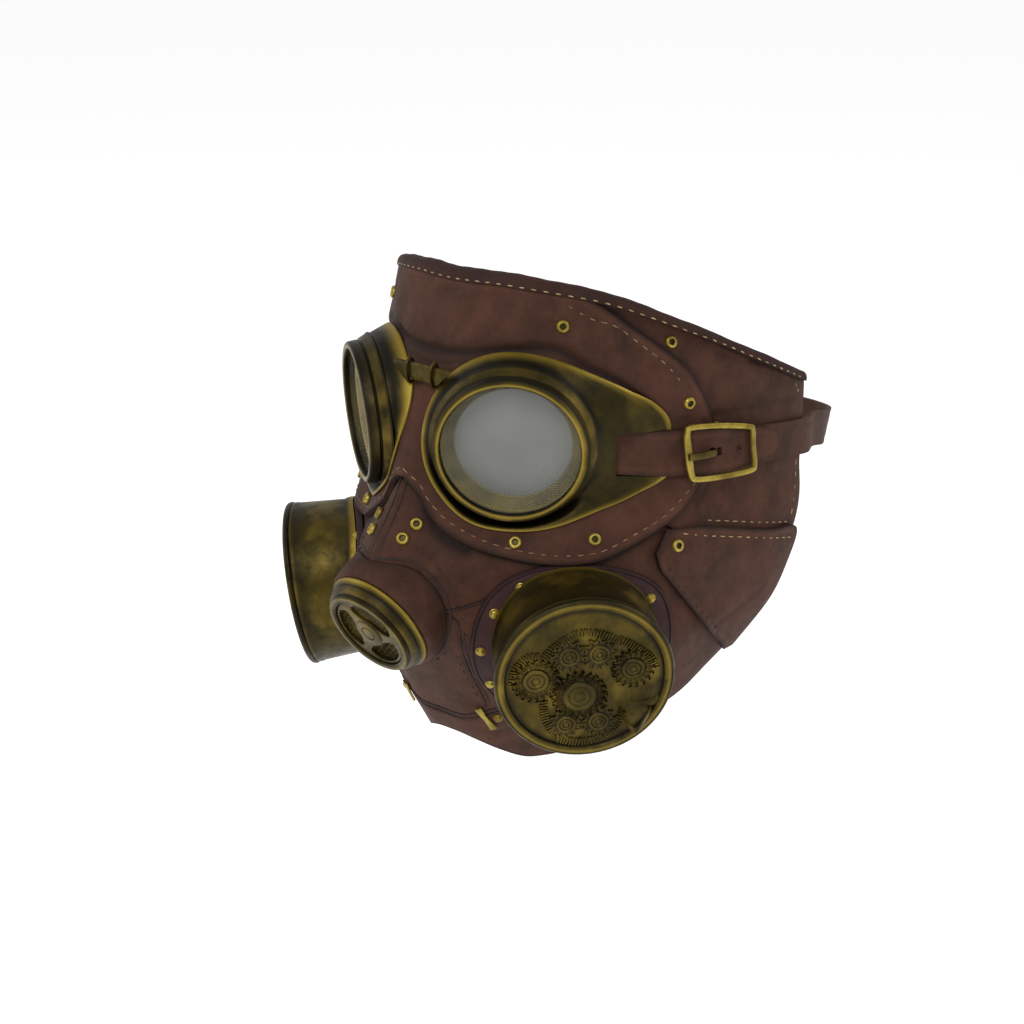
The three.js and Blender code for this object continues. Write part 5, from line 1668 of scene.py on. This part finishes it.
def canisterBody():
    front = -canister["faceThickness"] - face["seatGap"]
    lift = innerOver + face["layerGap"] + flange["thickness"] + face["seatGap"]
    outer = canister["radius"] - 0.6
    rear = canister["rear"]
    wall = canister["wall"]
    # Share down the wall, step out of it, and side
    profile = [(0, 0, 0), (0.02, 0.2, 0), (0.06, 0.25, 0), (0.09, 0, 0), (0.3, 0, 0), (0.6, 0, 0),
               (0.84, 0, 0), (0.88, 0.5, 0), (0.94, 0.8, 0), (1, 0.75, 0), (1, 0, 1), (0.5, 0, 1), (0, 0, 1),
               (0, 0, 0)]

    def ring(u, v):
        turn = 2 * np.pi * u
        row = np.round(v * (len(profile) - 1)).astype(int)
        share, step, side = (np.array([p[i] for p in profile])[row] for i in range(3))
        x, y = np.cos(turn), np.sin(turn)
        foot = faceBehind(canisterPlace, rear * x, rear * y, lift)
        reach = outer + (rear - outer) * share + step - side * wall
        height = front + (foot - front) * share
        return np.stack([reach * x, reach * y, height], 1)

    obj = swept("can", 144, len(profile) - 1, ring, closed=True)
    points = readPoints(obj)
    foot = faceBehind(canisterPlace, *(points[:, :2] / np.hypot(*points[:, :2].T)[:, None] * rear).T, lift)
    share = (points[:, 2] - front) / (foot - front)
    # Bright near the rear, worn metal and painted highlight, and dark lines of painted shade in the two
    # grooves
    markPoints(obj, "rubbedAndHighlight", smooth((share - 0.9) / 0.08))
    grooves = (0.865, 0.075)
    markPoints(obj, "seamAndShadowLine", sum(near(share - at, 0.02) for at in grooves))
    settlePair(obj, "can_brass", brassOld, "canister_body", canisterPlace, 34)


def gearPiece(x, y, radius, teeth, hub):
    tip = radius * canister["radius"]
    root = tip * 0.82
    relief = canister["relief"]
    steps = teeth * 4
    bpy.ops.mesh.primitive_circle_add(vertices=steps, radius=tip, fill_type="NGON")
    obj = bpy.context.object
    points = readPoints(obj)
    turn = np.arctan2(points[:, 1], points[:, 0])
    step = np.round(turn / (2 * np.pi) * steps).astype(int) % 4
    reach = np.where(step < 2, tip, root)
    writePoints(obj, np.stack([reach * np.cos(turn), reach * np.sin(turn), points[:, 2]], 1))
    only(obj)
    bpy.ops.object.mode_set(mode="EDIT")
    bpy.ops.mesh.select_all(action="SELECT")
    bpy.ops.mesh.extrude_region_move(TRANSFORM_OT_translate={"value": (0, 0, relief)})
    bpy.ops.mesh.inset(thickness=tip * 0.24)
    bpy.ops.mesh.extrude_region_move(TRANSFORM_OT_translate={"value": (0, 0, -0.35)})
    bpy.ops.object.mode_set(mode="OBJECT")
    sealed(obj)
    applied(obj, "BEVEL", width=0.14, segments=1, limit_method="ANGLE", angle_limit=math.radians(50))
    outer = hub * tip
    hubPiece = turnedPiece("hub", [
        (0, 0), (outer, 0), (outer, relief + 0.1), (outer - 0.3, relief + 0.4), (outer * 0.72, relief + 0.5),
        (outer * 0.66, relief + 0.2), (outer * 0.6, relief + 0.2), (outer * 0.52, relief + 0.5),
        (outer * 0.4, relief + 0.55), (outer * 0.34, relief + 0.25), (outer * 0.26, relief + 0.25),
        (outer * 0.2, relief + 0.5), (0, relief + 0.6),
    ], 40)
    ringMarks(obj, [hub * tip, root * 0.93], [], 0.22)
    ringMarks(hubPiece, [outer * 0.63, outer * 0.3, outer], [], 0.2)
    joinedTo(obj, hubPiece)
    scale = canister["radius"]
    obj.data.transform(Matrix.Translation((x * scale, y * scale, canister["plate"] - 0.25)))
    return obj


def toothRows():
    tooth = boxPiece("tooth", (0.62, 3.4, 0.9), (0, 0, 0.3))
    applied(tooth, "BEVEL", width=0.16, segments=1)
    places = []
    for arc in toothArcs:
        dense = np.array(rounded(arc, 80))
        run = np.concatenate([[0], np.cumsum(np.linalg.norm(np.diff(dense, axis=0), axis=1))])
        count = int(run[-1] / 1.15)
        for i in range(count + 1):
            at = run[-1] * i / count
            x, y = (np.interp(at, run, dense[:, k]) for k in (0, 1))
            turn = math.atan2(*(np.interp(at + 0.5, run, dense[:, k]) - np.interp(at - 0.5, run, dense[:, k])
                                for k in (1, 0)))
            slope = 0.14 * math.sin(i * 1.7)
            seat = Matrix.Translation((x, y, canister["plate"] + 0.1))
            places.append(seat @ Matrix.Rotation(turn + slope, 4, "Z"))
    rows = scattered("tooth_rows", tooth, places)
    remove(tooth)
    return rows


def canisterFace():
    radius, recess, plate = canister["radius"], canister["recess"], canister["plate"]
    depth = -canister["faceThickness"]
    rings = 14
    plateProfile = [(recess * (1 - k / rings), plate) for k in range(1, rings)]
    disc = turnedPiece("face", [
        (0, depth), (radius - 0.5, depth), (radius - 0.05, -2.2), (radius, -1.6), (radius - 0.25, -0.8),
        (radius - 0.75, -0.35), (radius - 1.3, -0.35), (radius - 1.55, -0.1), (radius - 2.2, 0.02),
        (recess + 1.3, 0.02), (recess + 0.7, -0.1), (recess + 0.25, -0.6), (recess, plate),
        *plateProfile, (0, plate),
    ], 144)
    points = readPoints(disc)
    reach = np.hypot(points[:, 0], points[:, 1])
    top = (points[:, 2] > plate - 0.05) & (reach < recess - 0.5)
    dents = 0.22 * np.sin(points[:, 0] * 0.31 + 1) * np.sin(points[:, 1] * 0.27)
    dents += 0.1 * np.sin(points[:, 0] * 0.7)
    points[:, 2] += np.where(top, dents * smooth((recess - reach) / 5), 0)
    writePoints(disc, points)
    ringMarks(disc, [radius - 1.0, recess + 0.1, radius + 0.1], [radius - 1.9], 0.34)
    joinedTo(disc, *[gearPiece(*row) for row in gearRows], toothRows(), faceDetails())
    settlePair(disc, "canister_face_brass", brassOld, "canister_face", canisterPlace, 32)


# The buckled ridge beside the loop
def faceDetails():
    plate = canister["plate"]

    def ring(u, v):
        x = 15 + 16 * u
        turn = 2 * np.pi * v
        height = 0.9 * np.sin(np.pi * np.clip(u, 0.02, 0.98)) + 0.1
        y = -13.4 + 2.6 * u + 1.9 * np.cos(turn) * (0.6 + 0.5 * u) + 0.4 * np.sin(u * 9)
        return np.stack([x, y, plate + height * np.maximum(np.sin(turn), -0.4)], 1)

    return swept("ridge", 30, 16, ring)


def canisterLoop():
    radius = canister["radius"]
    table = np.array([(0.41, -0.42, 0), (0.44, -0.45, 0.12), (0.53, -0.5, 0.29), (0.66, -0.45, 0.14),
                      (0.75, -0.41, 0)]) * radius
    table[:, 2] += canister["plate"] + 2 * face["seatGap"]
    index = np.arange(len(table))

    def spot(at):
        return np.stack([curve(index, column, at) for column in table.T], 1)

    def ring(u, v):
        at = u * index[-1]
        ahead = unit(spot(at + 0.05) - spot(at - 0.05))
        across = np.array([0, 1.0, 0])
        out = unit(np.cross(ahead, across))
        turn = 2 * np.pi * v
        flatX, flatY = squared(turn, 0.6)
        return spot(at) + across * (flatX * 1.1)[:, None] + out * (flatY * 0.5)[:, None]

    loop = swept("loop", 48, 16, ring)
    settlePair(loop, "loop_brass", brassOld, "canister_loop", canisterPlace, 50)


print("canisters")
canisterFlange()
canisterBody()
canisterFace()
canisterLoop()


# Clips over the chin's side seams, and the eyelets
def chinClips():
    rows = [(15.6, -0.539), (16.6, -0.555), (17.8, -0.571), (19, -0.588)]
    lift = innerOver + face["seatGap"] + 0.6
    points = [(angle, level * face["height"], lift) for angle, level in rows]
    clip = barAlong("clip", points, lambda at: 2.6 + 0.5 * np.cos(at * 2), 1.2, 40, False, 16, 0.6)
    settlePair(clip, "clip_brass", brassBright, "chin_clip", smoothAngle=50)


eyeletRows = [  # node, angle, level, lift
    ("eyelet_brow", 41.2, 0.213, outerOver + 0.35),
    ("eyelet_temple_upper", 76.8, 0.173, innerOver + 0.35),
    ("eyelet_temple_lower", 80.9, 0.058, outerOver + 0.35),
    ("eyelet_goggle_front", 29, -0.178, outerOver + 0.35),
    ("eyelet_goggle_back", 49.9, -0.17, outerOver + 0.35),
    ("eyelet_cheek", 73, -0.198, outerOver + 0.35),
    ("eyelet_nose_upper", 6.1, -0.148, innerOver + 0.8),
    ("eyelet_nose_lower", 4.7, -0.171, innerOver + 0.8),
]


def eyelets():
    master = turnedPiece("eyelet", [
        (1.0, -0.5), (1.05, 0.5), (1.25, 0.95), (1.65, 1.15), (2.05, 1.0), (2.4, 0.5), (2.55, 0),
        (2.55, -0.35), (1.0, -0.35), (1.0, -0.5),
    ], 32)
    floor = turnedPiece("eyelet_floor", [(0, -0.3), (1.05, -0.3), (1.05, 0.1), (0, 0.1)], 24)
    # Painted shade on the floor and the inner lip, in the eyelet's hole
    markPoints(floor, "seamAndShadowLine", np.ones(len(floor.data.vertices)) * 0.9)
    markPoints(master, "seamAndShadowLine", near(np.hypot(*readPoints(master)[:, :2].T) - 1.0, 0.2))
    joinedTo(master, floor)
    for node, angle, level, lift in eyeletRows:
        place = spotPlace(angle, level * face["height"], lift)
        settlePair(copied(master), f"{node}_brass", brassBright, node, place, 50)
    remove(master)


print("clips, eyelets and welts")
chinClips()
welts()
eyelets()


# Floor, light and camera
def stage():
    floorFinish = Finish("pale_floor")
    tone = floorFinish.noise(400, 2) * 0.02
    paper = floorFinish.mix(tone, (0.98, 0.98, 0.98), (0.92, 0.92, 0.92))
    glow = {"Emission_Color": paper, "Emission_Strength": 0.36}
    material = floorFinish.surface(Base_Color=paper, Roughness=0.9, **glow)
    low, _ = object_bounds()
    bpy.ops.mesh.primitive_plane_add(size=60, location=(0, 0, low.z - 0.12))
    floor = bpy.context.object
    floor.name = "floor"
    bpy.ops.object.transform_apply(location=True)
    floor.data.materials.append(material)
    floor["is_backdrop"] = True
    world = bpy.data.worlds.new("studio")
    world.use_nodes = True
    world.node_tree.nodes["Background"].inputs["Color"].default_value = (1, 1, 1, 1)
    world.node_tree.nodes["Background"].inputs["Strength"].default_value = 0.62
    bpy.context.scene.world = world
    bpy.context.scene.view_settings.view_transform = "Standard"
    lamps = [  # name, place, size, watts
        ("key", (0.5, -1.1, 1.1), 0.7, 9),
        ("fill", (-1.2, -0.7, 0.5), 1.0, 4),
        ("rim", (0.9, 0.9, 0.9), 0.7, 4),
    ]
    for name, place, size, watts in lamps:
        light = bpy.data.lights.new(name, "AREA")
        light.shape = "DISK"
        light.size = size
        light.energy = watts
        lamp = bpy.data.objects.new(name, light)
        lamp.location = place
        lamp.rotation_euler = (Vector((0, 0.05, -0.08)) - Vector(place)).to_track_quat("-Z", "Y").to_euler()
        bpy.context.scene.collection.objects.link(lamp)


def camera():
    right = Vector((0.7411, 0.6714, 0))
    up = Vector((-0.2114, 0.2333, 0.9492))
    ahead = Vector((-0.6373, 0.7034, -0.3148))
    data = bpy.data.cameras.new("camera")
    data.lens = 75
    data.sensor_width = 36
    data.clip_end = 20
    obj = bpy.data.objects.new("camera", data)
    place = Matrix.Identity(4)
    for i, axis in enumerate((right, up, -ahead)):
        place.col[i] = (*axis, 0)
    place.translation = (0.5516, -0.56968, 0.1885)
    obj.matrix_world = place
    bpy.context.scene.collection.objects.link(obj)
    bpy.context.scene.camera = obj


print("stage")
stage()
camera()
